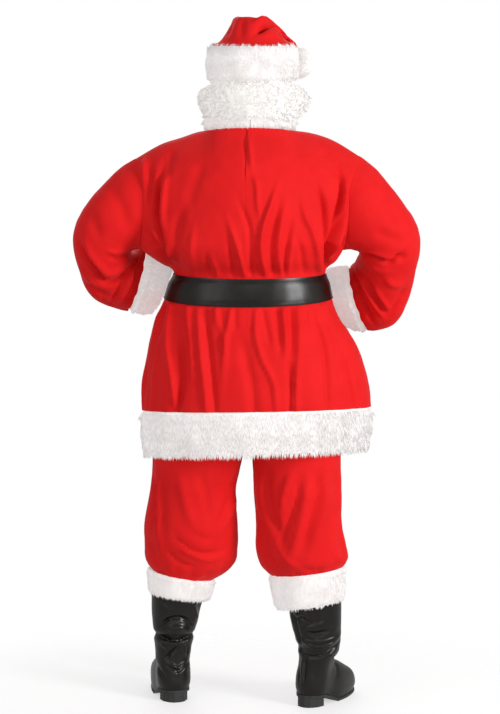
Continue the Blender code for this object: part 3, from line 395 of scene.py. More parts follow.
        (-2.2, 5, (138, 224), (173, 238), (213, 254)),
        (3.8, 5, 0.3, (135, 192), (178, 176), (219, 181), (254, 200)),
        (-3.8, 4, (143, 159), (162, 143), (197, 146), (232, 165), (254, 189)),
        (-3.8, 4, (221, 146), (238, 127), (243, 100)),
        (2.2, 3, (211, 157), (230, 138), (238, 113)),
        (-3, 5, (148, 216), (181, 208), (232, 221)),
        (-1.5, 2.2, (240, 113), (246, 89), (240, 54)),
        (2.2, 3, (151, 148), (148, 103), (146, 54)),
        (-1.9, 2.5, (157, 148), (154, 103), (151, 54)))}


# ---------------- reading the sizes

def read(table, value):
    """A table's columns at values of its first column, on smooth curves through its rows."""
    grid = np.array(table, float)
    keys, value = grid[:, 0], np.asarray(value, float)
    change = np.vstack((grid[1:], grid[-1:])) - np.vstack((grid[:1], grid[:-1]))
    slopes = change / change[:, :1]
    at = np.clip(np.searchsorted(keys, value, side="right") - 1, 0, len(keys) - 2)
    span = keys[at + 1] - keys[at]
    whole = (value - keys[at]) / span
    share = np.clip(whole, 0, 1)[..., None]
    beyond = ((whole - share[..., 0]) * span)[..., None]
    run = span[..., None]
    low, high, low_slope, high_slope = grid[at], grid[at + 1], slopes[at], slopes[at + 1]
    square, cube = share ** 2, share ** 3
    found = (low * (2 * cube - 3 * square + 1) + high * (3 * square - 2 * cube)
             + low_slope * run * (cube - 2 * square + share) + high_slope * run * (cube - square))
    found = found + beyond * np.where(beyond > 0, high_slope, low_slope)
    return type(table[0])(*np.moveaxis(found, -1, 0))


def ease(value, start, end):
    """0 up to start and 1 from end on, with a smooth step between."""
    share = np.clip((np.asarray(value, float) - start) / (end - start), 0, 1)
    return share * share * (3 - 2 * share)


def spread(start, end, count):
    return np.linspace(start, end, count + 1)


def joined_spreads(*stretches):
    """Values over several (start, end, count) stretches that follow each other."""
    first, *others = [spread(*stretch) for stretch in stretches]
    return np.concatenate((first, *(other[1:] for other in others)))


def cos(turn):
    return np.cos(np.radians(turn))


def sin(turn):
    return np.sin(np.radians(turn))


def points(x, y, z):
    """Arrays of x, y and height as one array of points."""
    return np.stack(np.broadcast_arrays(np.asarray(x, float), y, z), axis=-1)


def unit(vectors):
    return vectors / np.maximum(np.linalg.norm(vectors, axis=-1, keepdims=True), 1e-9)


# ---------------- forms of the pieces

NECK_EASE = (-16, -8, 0, 8, 16)       # the neck's curve is read this far to both sides, and evened
WAIST_EASE = (-1, -0.5, 0, 0.5, 1)    # the same for the turn from the waist into the chest
WAIST_EASE_HIGH, WAIST_EASE_REACH = 13.0, 48.0
BETWEEN_FLUTES = -4.0                 # the skirt's cloth lies this far in between its flutes
ARMHOLE_SPACE = SEAM + 0.1
TWIST_STEPS, SLEEVE_SEAM_STEPS, CROWN_SEAM_STEPS = (8, 12), (0, 3), (0, 2)
CROWN_OUT = 7.0                       # where the cone stands on the band's top
LONG_FOOT = (70, 150)                 # fronts between which a boot's section becomes a foot
TOE_ROUND, TOE_SQUARE = 0.14, 0.35
FOOT_WAIST, FOOT_WAIST_AT, FOOT_WAIST_LENGTH = 0.10, 35, 30


def drooped(turn, level):
    """The height of a level of the jacket, which hangs lower behind."""
    level = np.asarray(level, float)
    droop = read(LEVEL_DROOP, level)
    lowered = level + droop.back * np.minimum(0, sin(turn)) + droop.right * cos(turn)
    return np.where(level < LEVEL_DROOP[-1].level, lowered, level)


def flutes(turn, level):
    """How far out the skirt's standing folds are."""
    grown = 1 - ease(level, FLUTE_FULL, FLUTE_TOP)
    start = 1 - ease(level, FLUTE_TOP - 20, BELT_LEVELS[0] - 2)
    total = BETWEEN_FLUTES
    for fold in SKIRT_FLUTES:
        away = np.minimum(1, abs((turn - fold.turn + 180) % 360 - 180) / fold.width)
        rise = fold.under_belt + (fold.at_hem - fold.under_belt) * grown
        total = total + rise * (0.5 + 0.5 * np.cos(np.pi * away))
    return total * start


def body(turn, height, out=0.0):
    """The jacket's round below the armpits."""
    section = read(JACKET_SECTIONS, height)
    depth = np.where(sin(turn) > 0, section.front, section.back) + out
    x = (section.left + section.right) / 2 + ((section.right - section.left) / 2 + out) * cos(turn)
    return points(x, depth * sin(turn), height)


def skirt(turn, level, out=0.0):
    return body(turn, drooped(turn, level), out + flutes(turn, level))


def neck_drop(turn):
    return FRONT_NECK_DROP * np.maximum(0, sin(turn)) ** 2


def upper(turn, share, back):
    """The chest or back, from the armpits at share 0 to the shoulder line at 1."""
    share = np.clip(share, 0, 1)
    chest = read(CHEST, share)
    half, middle = (chest.right - chest.left) / 2, (chest.right + chest.left) / 2
    side = (turn - 270) / 90 if back else (90 - turn) / 90
    flat = np.minimum(1, 3 * share)
    x = middle + half * ((1 - flat) * sin(90 * side) + flat * side)
    arm = ARMHOLE_DEPTH * np.sqrt(np.maximum(0, 1 - (2 * share - 1) ** 2))
    depth = arm + ((chest.back if back else chest.front) - arm) * cos(90 * side)
    neck = sum(np.sqrt(np.maximum(0, 1 - ((x + shift - NECK_MIDDLE) / NECK_HALF) ** 2))
               for shift in NECK_EASE) / len(NECK_EASE)
    reach = (CHEST[-1].back if back else CHEST[-1].front) * neck + SHOULDER_SPACE
    rounding = 1 - np.sqrt(np.maximum(0, 1 - share ** 4))
    line = read(SHOULDER_LINE, x).height - (0 if back else FRONT_NECK_DROP) * neck ** 2
    y = depth * (1 - rounding) + reach * rounding
    return points(x, -y if back else y, ARMPIT + (line - ARMPIT) * share)


def panel(back):
    """The jacket's back or front from the hem to the shoulders."""
    def sharp(turn, level):
        low = skirt(turn, np.minimum(level, ARMPIT))
        high = upper(turn, (level - ARMPIT) / (NECK_HEIGHT - ARMPIT), back)
        return np.where((level > ARMPIT)[..., None], high, low)

    def place(turn, level):
        reach = WAIST_EASE_HIGH * (1 - ease(abs(level - ARMPIT), 0, WAIST_EASE_REACH))
        return sum(sharp(turn, level + shift * reach) for shift in WAIST_EASE) / len(WAIST_EASE)

    return place


def tube(rings, turn, step, out=0.0, twist=SLEEVE_TWIST):
    """A bent tube through rings, whose sections turn by twist towards its path."""
    def centre(at):
        ring = read(rings, at)
        return points((ring.outer_x + ring.inner_x) / 2, ring.middle,
                      (ring.outer_z + ring.inner_z) / 2)

    ring = read(rings, step)
    half = points((ring.inner_x - ring.outer_x) / 2, 0, (ring.inner_z - ring.outer_z) / 2)
    first = unit(half)
    ahead = unit(centre(step + 0.5) - centre(step - 0.5))
    second = unit(np.cross(ahead, first))
    straight = points(0, np.copysign(1.0, second[..., 1]), 0)
    second = unit(straight + (second - straight) * twist)
    reach = np.linalg.norm(half, axis=-1)
    return (centre(step) + first * ((reach + out) * cos(turn))[..., None]
            + second * ((ring.depth + out) * sin(turn))[..., None])


def armhole(side, turn):
    """The jacket's edge round the arm, where the sleeve is sewn in."""
    level = ARMPIT + (NECK_HEIGHT - ARMPIT) * (1 - cos(turn)) / 2
    at_back, at_front = (180, 180) if side == "left" else (360, 0)
    behind = (sin(turn) > 0) == (side == "left")
    edge = np.where(behind[..., None], panel(True)(at_back, level), panel(False)(at_front, level))
    return edge + points(ARMHOLE_SPACE * SIGN[side], 0, 0)


def sleeve(side):
    def place(turn, step, out=0.0):
        twist = SLEEVE_TWIST + (SLEEVE_TWIST_END - SLEEVE_TWIST) * ease(step, *TWIST_STEPS)
        to_seam = armhole(side, turn) - tube(SLEEVES[side], turn, np.zeros_like(turn))
        sewn = (1 - ease(step, *SLEEVE_SEAM_STEPS))[..., None]
        return tube(SLEEVES[side], turn, step, out, twist[..., None]) + to_seam * sewn

    return place


def hat_band(turn, share, out):
    x = HAT_MIDDLE + (BAND_INNER_ACROSS + out) * cos(turn)
    height = BAND_BOTTOM + BAND_HEIGHT * share + BAND_TILT * sin(turn)
    return points(x, (BAND_INNER_DEEP + out) * sin(turn), height)


def hat_crown(turn, step):
    def leaned(at):
        point = tube(HAT_CROWN, turn, at, twist=0.0)
        x = point[..., 0] * cos(HAT_LEAN) - point[..., 1] * sin(HAT_LEAN)
        y = point[..., 0] * sin(HAT_LEAN) + point[..., 1] * cos(HAT_LEAN)
        return points(HAT_MIDDLE + x, y, point[..., 2])

    last = len(HAT_CROWN) - 1
    seat = hat_band(turn + HAT_LEAN, 1.0, CROWN_OUT) - leaned(np.zeros_like(step))
    cone = leaned(np.minimum(step, last)) + seat * (1 - ease(step, *CROWN_SEAM_STEPS))[..., None]
    tip = np.array(POMPOM_AT) + (0, 0, POMPOM_RADIUS)
    return cone + (tip - cone) * np.clip(step - last, 0, 1)[..., None]


def wig(turn, height, out=0.0):
    row = read(WIG, height)
    grown, left = ease(height, *CURLS_RISE), 1 - ease(height, *CURLS_END)
    curl = CURL_DEPTH * cos(CURLS * turn) * grown * left + out
    return points(HAT_MIDDLE + (row.half_width + curl) * cos(turn),
                  (row.depth + curl) * sin(turn), height)


def collar(turn, rise, out):
    x = NECK_MIDDLE + NECK_HALF * cos(turn)
    base = (read(SHOULDER_LINE, x).height - neck_drop(turn) + SEAM
            + COLLAR_EASE * (1 + np.minimum(0, sin(turn))))
    top = COLLAR_TOP - neck_drop(turn)
    depth = np.where(sin(turn) > 0, CHEST[-1].front, CHEST[-1].back) + out
    return points(x + out * cos(turn), depth * sin(turn), base + (top - base) * rise)


def hem(turn, rise, out):
    height = drooped(turn, HEM_BOTTOM + (HEM_SEAM - SEAM - HEM_BOTTOM) * rise)
    point = body(turn, height, out + flutes(turn, HEM_SEAM))
    return point + points(0, 0, HEM_TILT * cos(turn) * (1 - rise))


def leg(side):
    sign = SIGN[side]

    def hips(turn, height):
        row = read(HIPS, height)
        half = sign * getattr(row, side)
        depth = np.where(sin(turn) > 0, row.front, row.back)
        x = sign * SEAM / 2 + sign * half * np.maximum(0, cos(turn) * sign)
        drop = CROTCH_DROP * (1 - abs(sin(turn))) * (cos(turn) * sign < -1e-9)
        return points(x, depth * sin(turn), drooped(turn, height) - drop)

    def place(turn, height):
        row = read(LEGS[side], height)
        low = points((row.outer + row.inner) / 2 + abs(row.outer - row.inner) / 2 * cos(turn),
                     row.middle + row.depth * sin(turn), height + row.tilt * cos(turn))
        top = hips(turn, np.full_like(height, SEAT_SEAM_END))
        slid = (height - SEAT_SEAM_END) * (top[..., 2] - TUCK_FULL) / (SEAT_SEAM_END - TUCK_FULL)
        lowered = top + points(0, 0, slid)
        share = (1 - ease(height, TUCK_FULL, SEAT_SEAM_END))[..., None]
        tucked = lowered + (low - lowered) * share
        return np.where((height >= SEAT_SEAM_END)[..., None], hips(turn, height), tucked)

    return place


def leg_fur(side):
    def place(turn, share, inward):
        row = read(LEG_FURS[side], share)
        thin = np.maximum(0, SIGN[side] * cos(turn))
        thick = LEG_FUR_THICK + (LEG_FUR_THIN - LEG_FUR_THICK) * thin
        out = -inward * thick / LEG_FUR_PROFILE[0][1]
        x = (row.outer + row.inner) / 2 + (abs(row.outer - row.inner) / 2 + out) * cos(turn)
        y = row.middle + (row.depth + out) * sin(turn)
        return points(x, y, row.height + row.tilt * cos(turn))

    return place


def sole_drop(ahead):
    """How far the foot's underside drops from the heel, and lifts again at the toe."""
    lift = np.maximum(0, ahead - TOE_LIFT_START) / (FOOT_LENGTH - TOE_LIFT_START)
    return -(SOLE_TOP - SOLE_THICK) * ease(ahead, ARCH[0], ARCH[2]) + TOE_LIFT * lift ** 2


def boot(side):
    def place(turn, height):
        row = read(BOOTS[side], height)
        ahead = np.where(sin(turn) > 0, row.front, row.back) * sin(turn)
        long_foot = ease(row.front, *LONG_FOOT)
        toe_round = 1 - TOE_ROUND * long_foot * np.maximum(0, sin(turn)) ** 2
        waist = 1 - FOOT_WAIST * long_foot * np.exp(
            -((ahead - FOOT_WAIST_AT) / FOOT_WAIST_LENGTH) ** 2)
        belly = abs(cos(turn)) ** (1 - TOE_SQUARE * long_foot * (sin(turn) > 0))
        across = row.half_width * np.copysign(belly, cos(turn)) * toe_round * waist
        toe_out = -SIGN[side] * row.toe_out
        x = row.across + across * cos(toe_out) - ahead * sin(toe_out)
        y = row.middle + across * sin(toe_out) + ahead * cos(toe_out)
        lowered = height + sole_drop(ahead) * (1 - ease(height, SOLE_TOP, FOOT_FADE))
        return points(x, y, lowered)

    return place


# ---------------- folding cloth

Knot = namedtuple("Knot", "at across height")
PATH_STEPS = 8                        # pieces of a path between two of its points
FOLD_STRENGTH = 2.4
FOLD_REACH = 3.2                      # how far a fold is felt, in widths
FOLD_STARTS, FOLD_ENDS = (0, 0.28), (0.68, 1.0)      # shares of a path over which a fold tapers
FOLD_LEFT = 0.12                      # what stays of it at its ends
FACING = (-0.10, 0.45)                # folds grow in where the cloth turns to their side
BROAD_WAVE, FINE_WAVE, FINE_WAVE_SHARE = (62.0, 3), (23.0, 8), 0.45
HIDDEN_SHARE, HIDDEN_DROP, HIDDEN_SWAY, HIDDEN_SWAY_EVERY = 0.8, 14.0, 9, 31


def smooth_path(path):
    """A path's points on a smooth curve through them."""
    knots = [Knot(at, *point) for at, point in enumerate(path)]
    found = read(knots, spread(0, len(path) - 1, (len(path) - 1) * PATH_STEPS))
    return np.stack((found.across, found.height), axis=-1)


def fold_depths(spots, folds):
    """How far each (across, height) spot is pushed out by the folds."""
    total = np.zeros(len(spots))
    for fold in folds:
        path = smooth_path(fold.path)
        reach = FOLD_REACH * fold.width * (1 + abs(fold.lean))
        near = np.all((spots > path.min(0) - reach) & (spots < path.max(0) + reach), axis=1)
        if not near.any():
            continue
        spot = spots[near][:, None, :]
        start, run = path[:-1][None], (path[1:] - path[:-1])[None]
        share = np.clip(((spot - start) * run).sum(-1) / (run ** 2).sum(-1), 0, 1)
        gap = spot - start - share[..., None] * run
        away = np.linalg.norm(gap, axis=-1)
        best = away.argmin(1)
        pick = np.arange(len(best))
        side = np.sign(run[0, best, 0] * gap[pick, best, 1] - run[0, best, 1] * gap[pick, best, 0])
        along = (best + share[pick, best]) / (len(path) - 1)
        width = fold.width * (1 + fold.lean * side)
        taper = ease(along, *FOLD_STARTS) * (1 - ease(along, *FOLD_ENDS)) + FOLD_LEFT
        total[near] += FOLD_STRENGTH * fold.depth * taper * np.exp(-(away[pick, best] / width) ** 2)
    return total


def waves(spots, size, seed):
    """Slow unevenness, from -1 to 1, at points."""
    shift = Vector((seed * 7.3, seed * 3.1, seed * 5.7))
    return np.array([noise.noise(Vector(spot) / size + shift) for spot in spots])


def hidden(folds):
    """Folds like these for a hidden side: a little lower, swayed and shallower."""
    return [fold._replace(depth=fold.depth * HIDDEN_SHARE, path=[
        (x, z - HIDDEN_DROP + HIDDEN_SWAY * math.sin(z / HIDDEN_SWAY_EVERY))
        for x, z in fold.path]) for fold in folds]


def mirrored(folds, middle):
    return [fold._replace(path=[(2 * middle - x, z) for x, z in fold.path]) for fold in folds]


def spots_of(bm):
    return np.array([vert.co for vert in bm.verts])


def move_to(bm, spots):
    for vert, spot in zip(bm.verts, spots):
        vert.co = spot


def rim_of(bm):
    return [edge for edge in bm.edges if edge.is_boundary]


def flat_grid(across, along, uvs=None):
    """A grid of faces, and its points as shares of its width and of its height."""
    bm = bmesh.new()
    if uvs:
        bm.loops.layers.uv.new(uvs)
    bmesh.ops.create_grid(bm, x_segments=across, y_segments=along, size=0.5, calc_uvs=bool(uvs))
    shares = spots_of(bm) + 0.5
    return bm, shares[:, 0], shares[:, 1]


def in_frame(name, mesh, staged=False):
    """An object made of a mesh, which rides on the suit unless it is staged."""
    mesh.shade_smooth()
    made = bpy.data.objects.new(name, mesh)
    bpy.context.scene.collection.objects.link(made)
    if not staged:
        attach(made, "root")
    return made


def finished(name, bm, staged=False):
    """The bmesh, in millimetres above the floor, as an object in the frame."""
    bmesh.ops.translate(bm, verts=bm.verts, vec=(0, 0, -NECK_HEIGHT))
    bmesh.ops.scale(bm, verts=bm.verts, vec=(MM, MM, MM))
    mesh = bpy.data.meshes.new(name)
    bm.to_mesh(mesh)
    bm.free()
    return in_frame(name, mesh, staged)


def laid(name, place, turns, levels, behind=(), before=(), calm=None, keep=None, relief=None,
         wave=1.6):
    """A flat grid laid on place(turn, level), with its folds pushed in along its normals.

    calm(turn, level) says how much of the folds stays; relief(turn, level) adds its own.
    """
    bm, across, along = flat_grid(len(turns) - 1, len(levels) - 1, uvs="cut")
    turn = np.asarray(turns)[np.rint(across * (len(turns) - 1)).astype(int)]
    level = np.asarray(levels)[np.rint(along * (len(levels) - 1)).astype(int)]
    number = bm.verts.layers.int.new("number")
    for at, vert in enumerate(bm.verts):
        vert[number] = at
    move_to(bm, place(turn, level))
    if keep:
        kept = keep(turn, level)
        gone = [face for face in bm.faces if not all(kept[vert[number]] for vert in face.verts)]
        bmesh.ops.delete(bm, geom=gone, context="FACES")
    bmesh.ops.remove_doubles(bm, verts=bm.verts, dist=0.02)
    bm.normal_update()
    spots = spots_of(bm)
    normals = np.array([vert.normal for vert in bm.verts])
    numbers = np.array([vert[number] for vert in bm.verts])
    turn, level = turn[numbers], level[numbers]
    flat = spots[:, (0, 2)]
    push = fold_depths(flat, behind) * ease(-normals[:, 1], *FACING)
    push += fold_depths(flat, before) * ease(normals[:, 1], *FACING)
    push += wave * (waves(spots, *BROAD_WAVE) + FINE_WAVE_SHARE * waves(spots, *FINE_WAVE))
    if calm:
        push *= calm(turn, level)
    if relief:
        push += relief(turn, level)
    move_to(bm, spots + normals * push[:, None])
    bm.verts.layers.int.remove(number)
    for edge in bm.edges:
        edge.smooth = not edge.is_boundary
    return finished(name, bm)


def walled(piece, thick):
    """Gives a sheet its thickness, inwards from its face."""
    wall = piece.modifiers.new("wall", "SOLIDIFY")
    wall.thickness = thick * MM
    wall.offset = -1.0
    wall.use_even_offset = False
    return piece


# ---------------- finishes

FLOAT, COLOUR, VECTOR = "NodeSocketFloat", "NodeSocketColor", "NodeSocketVector"
WHITE = (1, 1, 1, 1)
SOFT_NORMAL = 0.92       # how far a lock of pile is lit like the surface that it lies on
PILE_LETS_THROUGH = 0.9  # the share of light that pile lets into its own shade
BUMP_STRENGTH = 0.6

Finish = namedtuple("Finish", "low high patch contrast rough surface settings")
Grain = namedtuple("Grain", "cells fibres share bump_mm")
PileShade = namedtuple("PileShade", "root tip")            # painted shade along a lock: darker at its root, deep in the pile, lighter at its tip
FINISHES = {
    "velour": Finish(
        (0.60, 0.008, 0.009), (0.71, 0.014, 0.015), 14.0, 1.2, (0.62, 0.74),
        Grain(700.0, 900.0, 0.15, 0.4),
        {"Sheen Weight": 0.22, "Sheen Roughness": 0.4, "Sheen Tint": (1.0, 0.16, 0.16, 1.0),
         "Specular IOR Level": 0.06}),
    # the plush glows: its emission is painted light, a faintly warm glow with no lamp behind it
    # that lifts the pile's shade, standing in for light scattered among the hairs
    "plush_pile": Finish(
        (0.50, 0.46, 0.44), (0.72, 0.71, 0.70), 20.0, 2.0, (0.9, 0.95), PileShade(0.93, 1.0),
        {"Specular IOR Level": 0.1, "Emission Strength": 0.44,
         "Emission Color": (1.0, 0.95, 0.94, 1.0)}),
    # the ringlets glow: their emission is painted light, a faintly warm glow with no lamp behind it
    # that lifts their shade, standing in for light scattered among the curls
    "ringlets_pile": Finish(
        (0.54, 0.52, 0.50), (0.64, 0.63, 0.61), 40.0, 1.6, (0.5, 0.65), PileShade(0.80, 1.02),
        {"Specular IOR Level": 0.2, "Emission Strength": 0.49,
         "Emission Color": (1.0, 0.96, 0.93, 1.0)}),
    "vinyl": Finish(
        (0.004, 0.0035, 0.003), (0.009, 0.0075, 0.006), 25.0, 1.5, (0.27, 0.37),
        Grain(900.0, 500.0, 0.7, 0.10), {"Specular IOR Level": 0.30}),
    "boot_sole": Finish(
        (0.012, 0.012, 0.012), (0.030, 0.029, 0.028), 40.0, 1.5, (0.5, 0.65),
        Grain(500.0, 900.0, 0.4, 0.15), {"Specular IOR Level": 0.4}),
    "brass": Finish(
        (0.72, 0.46, 0.14), (0.90, 0.66, 0.27), 60.0, 1.2, (0.18, 0.34),
        Grain(1200.0, 700.0, 0.2, 0.03), {"Metallic": 1.0}),
}


def plug(tree, node, sockets):
    """Sets a node's inputs to values, or links them to other nodes' outputs."""
    for socket, source in sockets.items():
        if isinstance(source, bpy.types.NodeSocket):
            tree.links.new(source, node.inputs[socket])
        else:
            node.inputs[socket].default_value = source
    return node


def add(tree, kind, sockets=(), **settings):
    """A node with its settings and its inputs."""
    node = tree.nodes.new(kind)
    for name, value in settings.items():
        setattr(node, name, value)
    return plug(tree, node, dict(sockets))


def surfaced(tree, share, first, second, output="Material Output"):
    """Mixes two shaders by a socket and shows them as the surface."""
    mixed = add(tree, "ShaderNodeMixShader", {0: share, 1: first.outputs[0], 2: second.outputs[0]})
    plug(tree, tree.nodes[output], {"Surface": mixed.outputs[0]})


def node_group(name, inputs, outputs):
    """An empty shader group with named sockets, and its input and output nodes."""
    group = bpy.data.node_groups.new(name, "ShaderNodeTree")
    for label, kind, value in inputs:
        socket = group.interface.new_socket(label, in_out="INPUT", socket_type=kind)
        socket.default_value = value
    for label, kind in outputs:
        group.interface.new_socket(label, in_out="OUTPUT", socket_type=kind)
    return group, group.nodes.new("NodeGroupInput").outputs, group.nodes.new("NodeGroupOutput")


def make_mottle():
    """Slow patches of two colours, such as pile lying two ways."""
    group, given, out = node_group(
        "pile_mottle",
        [("Vector", VECTOR, (0, 0, 0)), ("Size", FLOAT, 20.0), ("Contrast", FLOAT, 1.0),
         ("Low", COLOUR, (0, 0, 0, 1)), ("High", COLOUR, WHITE)],
        [("Color", COLOUR), ("Mask", FLOAT)])
    cloud = add(group, "ShaderNodeTexNoise", {"Vector": given["Vector"], "Scale": given["Size"],
                                              "Detail": 4.0, "Roughness": 0.6})
    centred = add(group, "ShaderNodeMath", {0: cloud.outputs["Fac"], 1: 0.5}, operation="SUBTRACT")
    stretched = add(group, "ShaderNodeMath", {0: centred.outputs[0], 1: given["Contrast"]},
                    operation="MULTIPLY")
    mask = add(group, "ShaderNodeMath", {0: stretched.outputs[0], 1: 0.5}, operation="ADD",
               use_clamp=True)
    mixed = add(group, "ShaderNodeMix", {0: mask.outputs[0], 6: given["Low"], 7: given["High"]},
                data_type="RGBA")
    plug(group, out, {"Color": mixed.outputs[2], "Mask": mask.outputs[0]})
    return group


def make_grain():
    """Height of a fine grain: cells for leather cloth, noise for pile."""
    group, given, out = node_group(
        "fine_grain",
        [("Vector", VECTOR, (0, 0, 0)), ("Cells", FLOAT, 900.0), ("Fibres", FLOAT, 1500.0),
         ("Cell Share", FLOAT, 0.5)],
        [("Height", FLOAT)])
    cells = add(group, "ShaderNodeTexVoronoi", {"Vector": given["Vector"],
                                                "Scale": given["Cells"]}, feature="F1")
    fibres = add(group, "ShaderNodeTexNoise", {"Vector": given["Vector"], "Scale": given["Fibres"],
                                               "Detail": 3.0, "Roughness": 0.65})
    mixed = add(group, "ShaderNodeMix", {0: given["Cell Share"], 2: fibres.outputs["Fac"],
                                         3: cells.outputs["Distance"]}, data_type="FLOAT")
    plug(group, out, {"Height": mixed.outputs[0]})
    return group


MOTTLE, GRAIN = make_mottle(), make_grain()


def add_grain(tree, shader, where, grain):
    """A fine bump of cells and fibres."""
    height = add(tree, "ShaderNodeGroup", node_tree=GRAIN)
    plug(tree, height, {"Vector": where, "Cells": grain.cells, "Fibres": grain.fibres,
                        "Cell Share": grain.share})
    bump = add(tree, "ShaderNodeBump", {"Height": height.outputs["Height"],
                                        "Strength": BUMP_STRENGTH, "Distance": grain.bump_mm * MM})
    plug(tree, shader, {"Normal": bump.outputs["Normal"]})


def add_pile(tree, shader):
    """Lights locks like the surface that they lie on, and lets light through them."""
    own = add(tree, "ShaderNodeNewGeometry")
    facing = add(tree, "ShaderNodeAttribute", attribute_name="facing")
    soft = add(tree, "ShaderNodeMix", {0: SOFT_NORMAL, 4: own.outputs["Normal"],
                                       5: facing.outputs["Vector"]}, data_type="VECTOR")
    level = add(tree, "ShaderNodeVectorMath", {0: soft.outputs[1]}, operation="NORMALIZE")
    plug(tree, shader, {"Normal": level.outputs[0]})
    ray = add(tree, "ShaderNodeLightPath")
    through = add(tree, "ShaderNodeMath", {0: ray.outputs["Is Shadow Ray"], 1: PILE_LETS_THROUGH},
                  operation="MULTIPLY")
    surfaced(tree, through.outputs[0], shader, add(tree, "ShaderNodeBsdfTransparent"))


def with_painted_root_shade(tree, colour, pile):
    """A colour with painted shade, darkest at a lock's root deep in the pile and lightest at its
    tip.
    """
    along = add(tree, "ShaderNodeAttribute", attribute_name="along")
    shade = add(tree, "ShaderNodeMapRange", {"Value": along.outputs["Fac"], "To Min": pile.root,
                                             "To Max": pile.tip})
    return add(tree, "ShaderNodeMix", {0: 1.0, 6: colour, 7: shade.outputs[0]},
               data_type="RGBA", blend_type="MULTIPLY").outputs[2]


def make_finish(name):
    """A material from its row, with a grain or with the look of pile."""
    row = FINISHES[name]
    made = bpy.data.materials.new(name)
    made.use_nodes = True
    tree = made.node_tree
    shader = tree.nodes["Principled BSDF"]
    where = add(tree, "ShaderNodeTexCoord").outputs["Object"]
    mottle = add(tree, "ShaderNodeGroup", node_tree=MOTTLE)
    plug(tree, mottle, {"Vector": where, "Size": row.patch, "Contrast": row.contrast,
                        "Low": (*row.low, 1), "High": (*row.high, 1)})
    colour = mottle.outputs["Color"]
    if isinstance(row.surface, PileShade):
        # painted shade: locks, and the backing under them, are painted darker towards the roots,
        # deep in the pile
        colour = with_painted_root_shade(tree, colour, row.surface)
        add_pile(tree, shader)
    else:
        add_grain(tree, shader, where, row.surface)
    low, high = row.rough
    rough = add(tree, "ShaderNodeMapRange", {"Value": mottle.outputs["Mask"], "To Min": low,
                                             "To Max": high})
    plug(tree, shader, {**row.settings, "Base Color": colour, "Roughness": rough.outputs[0]})
    return made


VELOUR, VINYL_BLACK, SOLE_BLACK, BRASS, PLUSH, RINGLETS = (
    make_finish(name) for name in ("velour", "vinyl", "boot_sole", "brass", "plush_pile",
                                   "ringlets_pile"))


def dressed(piece, finish, node):
    """Gives a piece its material and hides the node that it stands for."""
    piece.data.materials.clear()
    piece.data.materials.append(finish)
    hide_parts(node)
    return piece


# ---------------- camera, light and floor

CAMERA_AT, CAMERA_TO, CAMERA_LENS = (0.005, -5.0, -0.218), (0.005, 0.0, -0.6115), 93.7
Lamp = namedtuple("Lamp", "name spot size power")
LAMPS = rows_of(Lamp,
    ("key", (3.8, -3.0, 0.5), 1.4, 196), ("fill", (-3.0, -3.4, 0.9), 2.6, 38),
    ("broad", (0.3, -5.4, -0.3), 2.4, 34), ("front", (-0.5, 4.0, 1.6), 3.0, 90))
LAMPS_TO, WORLD_LIGHT = (0, 0, -0.55), 0.5
FLOOR_RADIUS, FLOOR_DROP, FLOOR_COLOUR, FLOOR_ROUGH = 1600.0, 0.5, (0.95, 0.95, 0.95, 1), 0.9
FLOOR_FADE = {"From Min": 1.60, "From Max": 1.95, "To Min": 0.42, "To Max": 0.0}


def look(thing, spot, target):
    thing.location = spot
    thing.rotation_euler = (Vector(target) - Vector(spot)).to_track_quat("-Z", "Y").to_euler()


def set_scene():
    scene = bpy.context.scene
    scene.view_settings.view_transform = "Standard"
    camera = bpy.data.objects.new("camera", bpy.data.cameras.new("camera"))
    scene.collection.objects.link(camera)
    scene.camera = camera
    camera.data.lens = CAMERA_LENS
    look(camera, CAMERA_AT, CAMERA_TO)
    for row in LAMPS:
        lamp = bpy.data.lights.new(row.name, "AREA")
        lamp.size, lamp.energy = row.size, row.power
        made = bpy.data.objects.new(row.name, lamp)
        scene.collection.objects.link(made)
        look(made, row.spot, LAMPS_TO)
    world = bpy.data.worlds.new("studio")
    scene.world = world
    world.use_nodes = True
    tree = world.node_tree
    light = plug(tree, tree.nodes["Background"], {"Color": WHITE, "Strength": WORLD_LIGHT})
    plain = add(tree, "ShaderNodeBackground", {"Color": WHITE})
    seen = add(tree, "ShaderNodeLightPath").outputs["Is Camera Ray"]
    surfaced(tree, seen, light, plain, "World Output")


def set_floor():
    """A round pale floor that fades into the backdrop."""
    bm = bmesh.new()
    bmesh.ops.create_circle(bm, cap_ends=True, segments=96, radius=FLOOR_RADIUS)
    bmesh.ops.translate(bm, verts=bm.verts, vec=(0, 0, -FLOOR_DROP))
    floor = finished("floor", bm, staged=True)
    pale = bpy.data.materials.new("pale_floor")
    pale.use_nodes = True
    tree = pale.node_tree
    where = add(tree, "ShaderNodeTexCoord").outputs["Object"]
    away = add(tree, "ShaderNodeVectorMath", {0: where}, operation="LENGTH")
    fade = add(tree, "ShaderNodeMapRange", {"Value": away.outputs["Value"], **FLOOR_FADE},
               interpolation_type="SMOOTHSTEP")
    shader = plug(tree, tree.nodes["Principled BSDF"],
                  {"Base Color": FLOOR_COLOUR, "Roughness": FLOOR_ROUGH})
    surfaced(tree, fade.outputs[0], add(tree, "ShaderNodeBsdfTransparent"), shader)
    floor.data.materials.append(pale)


# ---------------- red cloth

CLOTH_WALL = 1.8
BELT_CLEAR, BELT_FADE = 2.0, 9.0       # folds die out this close to the belt
ARMPIT_CALM, ARM_CALM, SHOULDER_CALM = 20, 16, 14  # and this close to the sleeves and shoulders
ARM_SEAM = (ARMPIT - 30, ARMPIT + 10)  # heights over which the side seam becomes the arm's seam
MM_PER_TURN = 3.2                      # roughly, round the jacket
LAP_TURN, LAP_UNDER, LAP_RAISED = 1.2, 0.3, 1.5    # the back's right half laps over its left half
LAP_BEFORE, LAP_AFTER = (-9, 0), (2, 26)           # millimetres past the middle
SLIT_END = (1425.0, 1450.0)
CENTRE_SEAM = 270
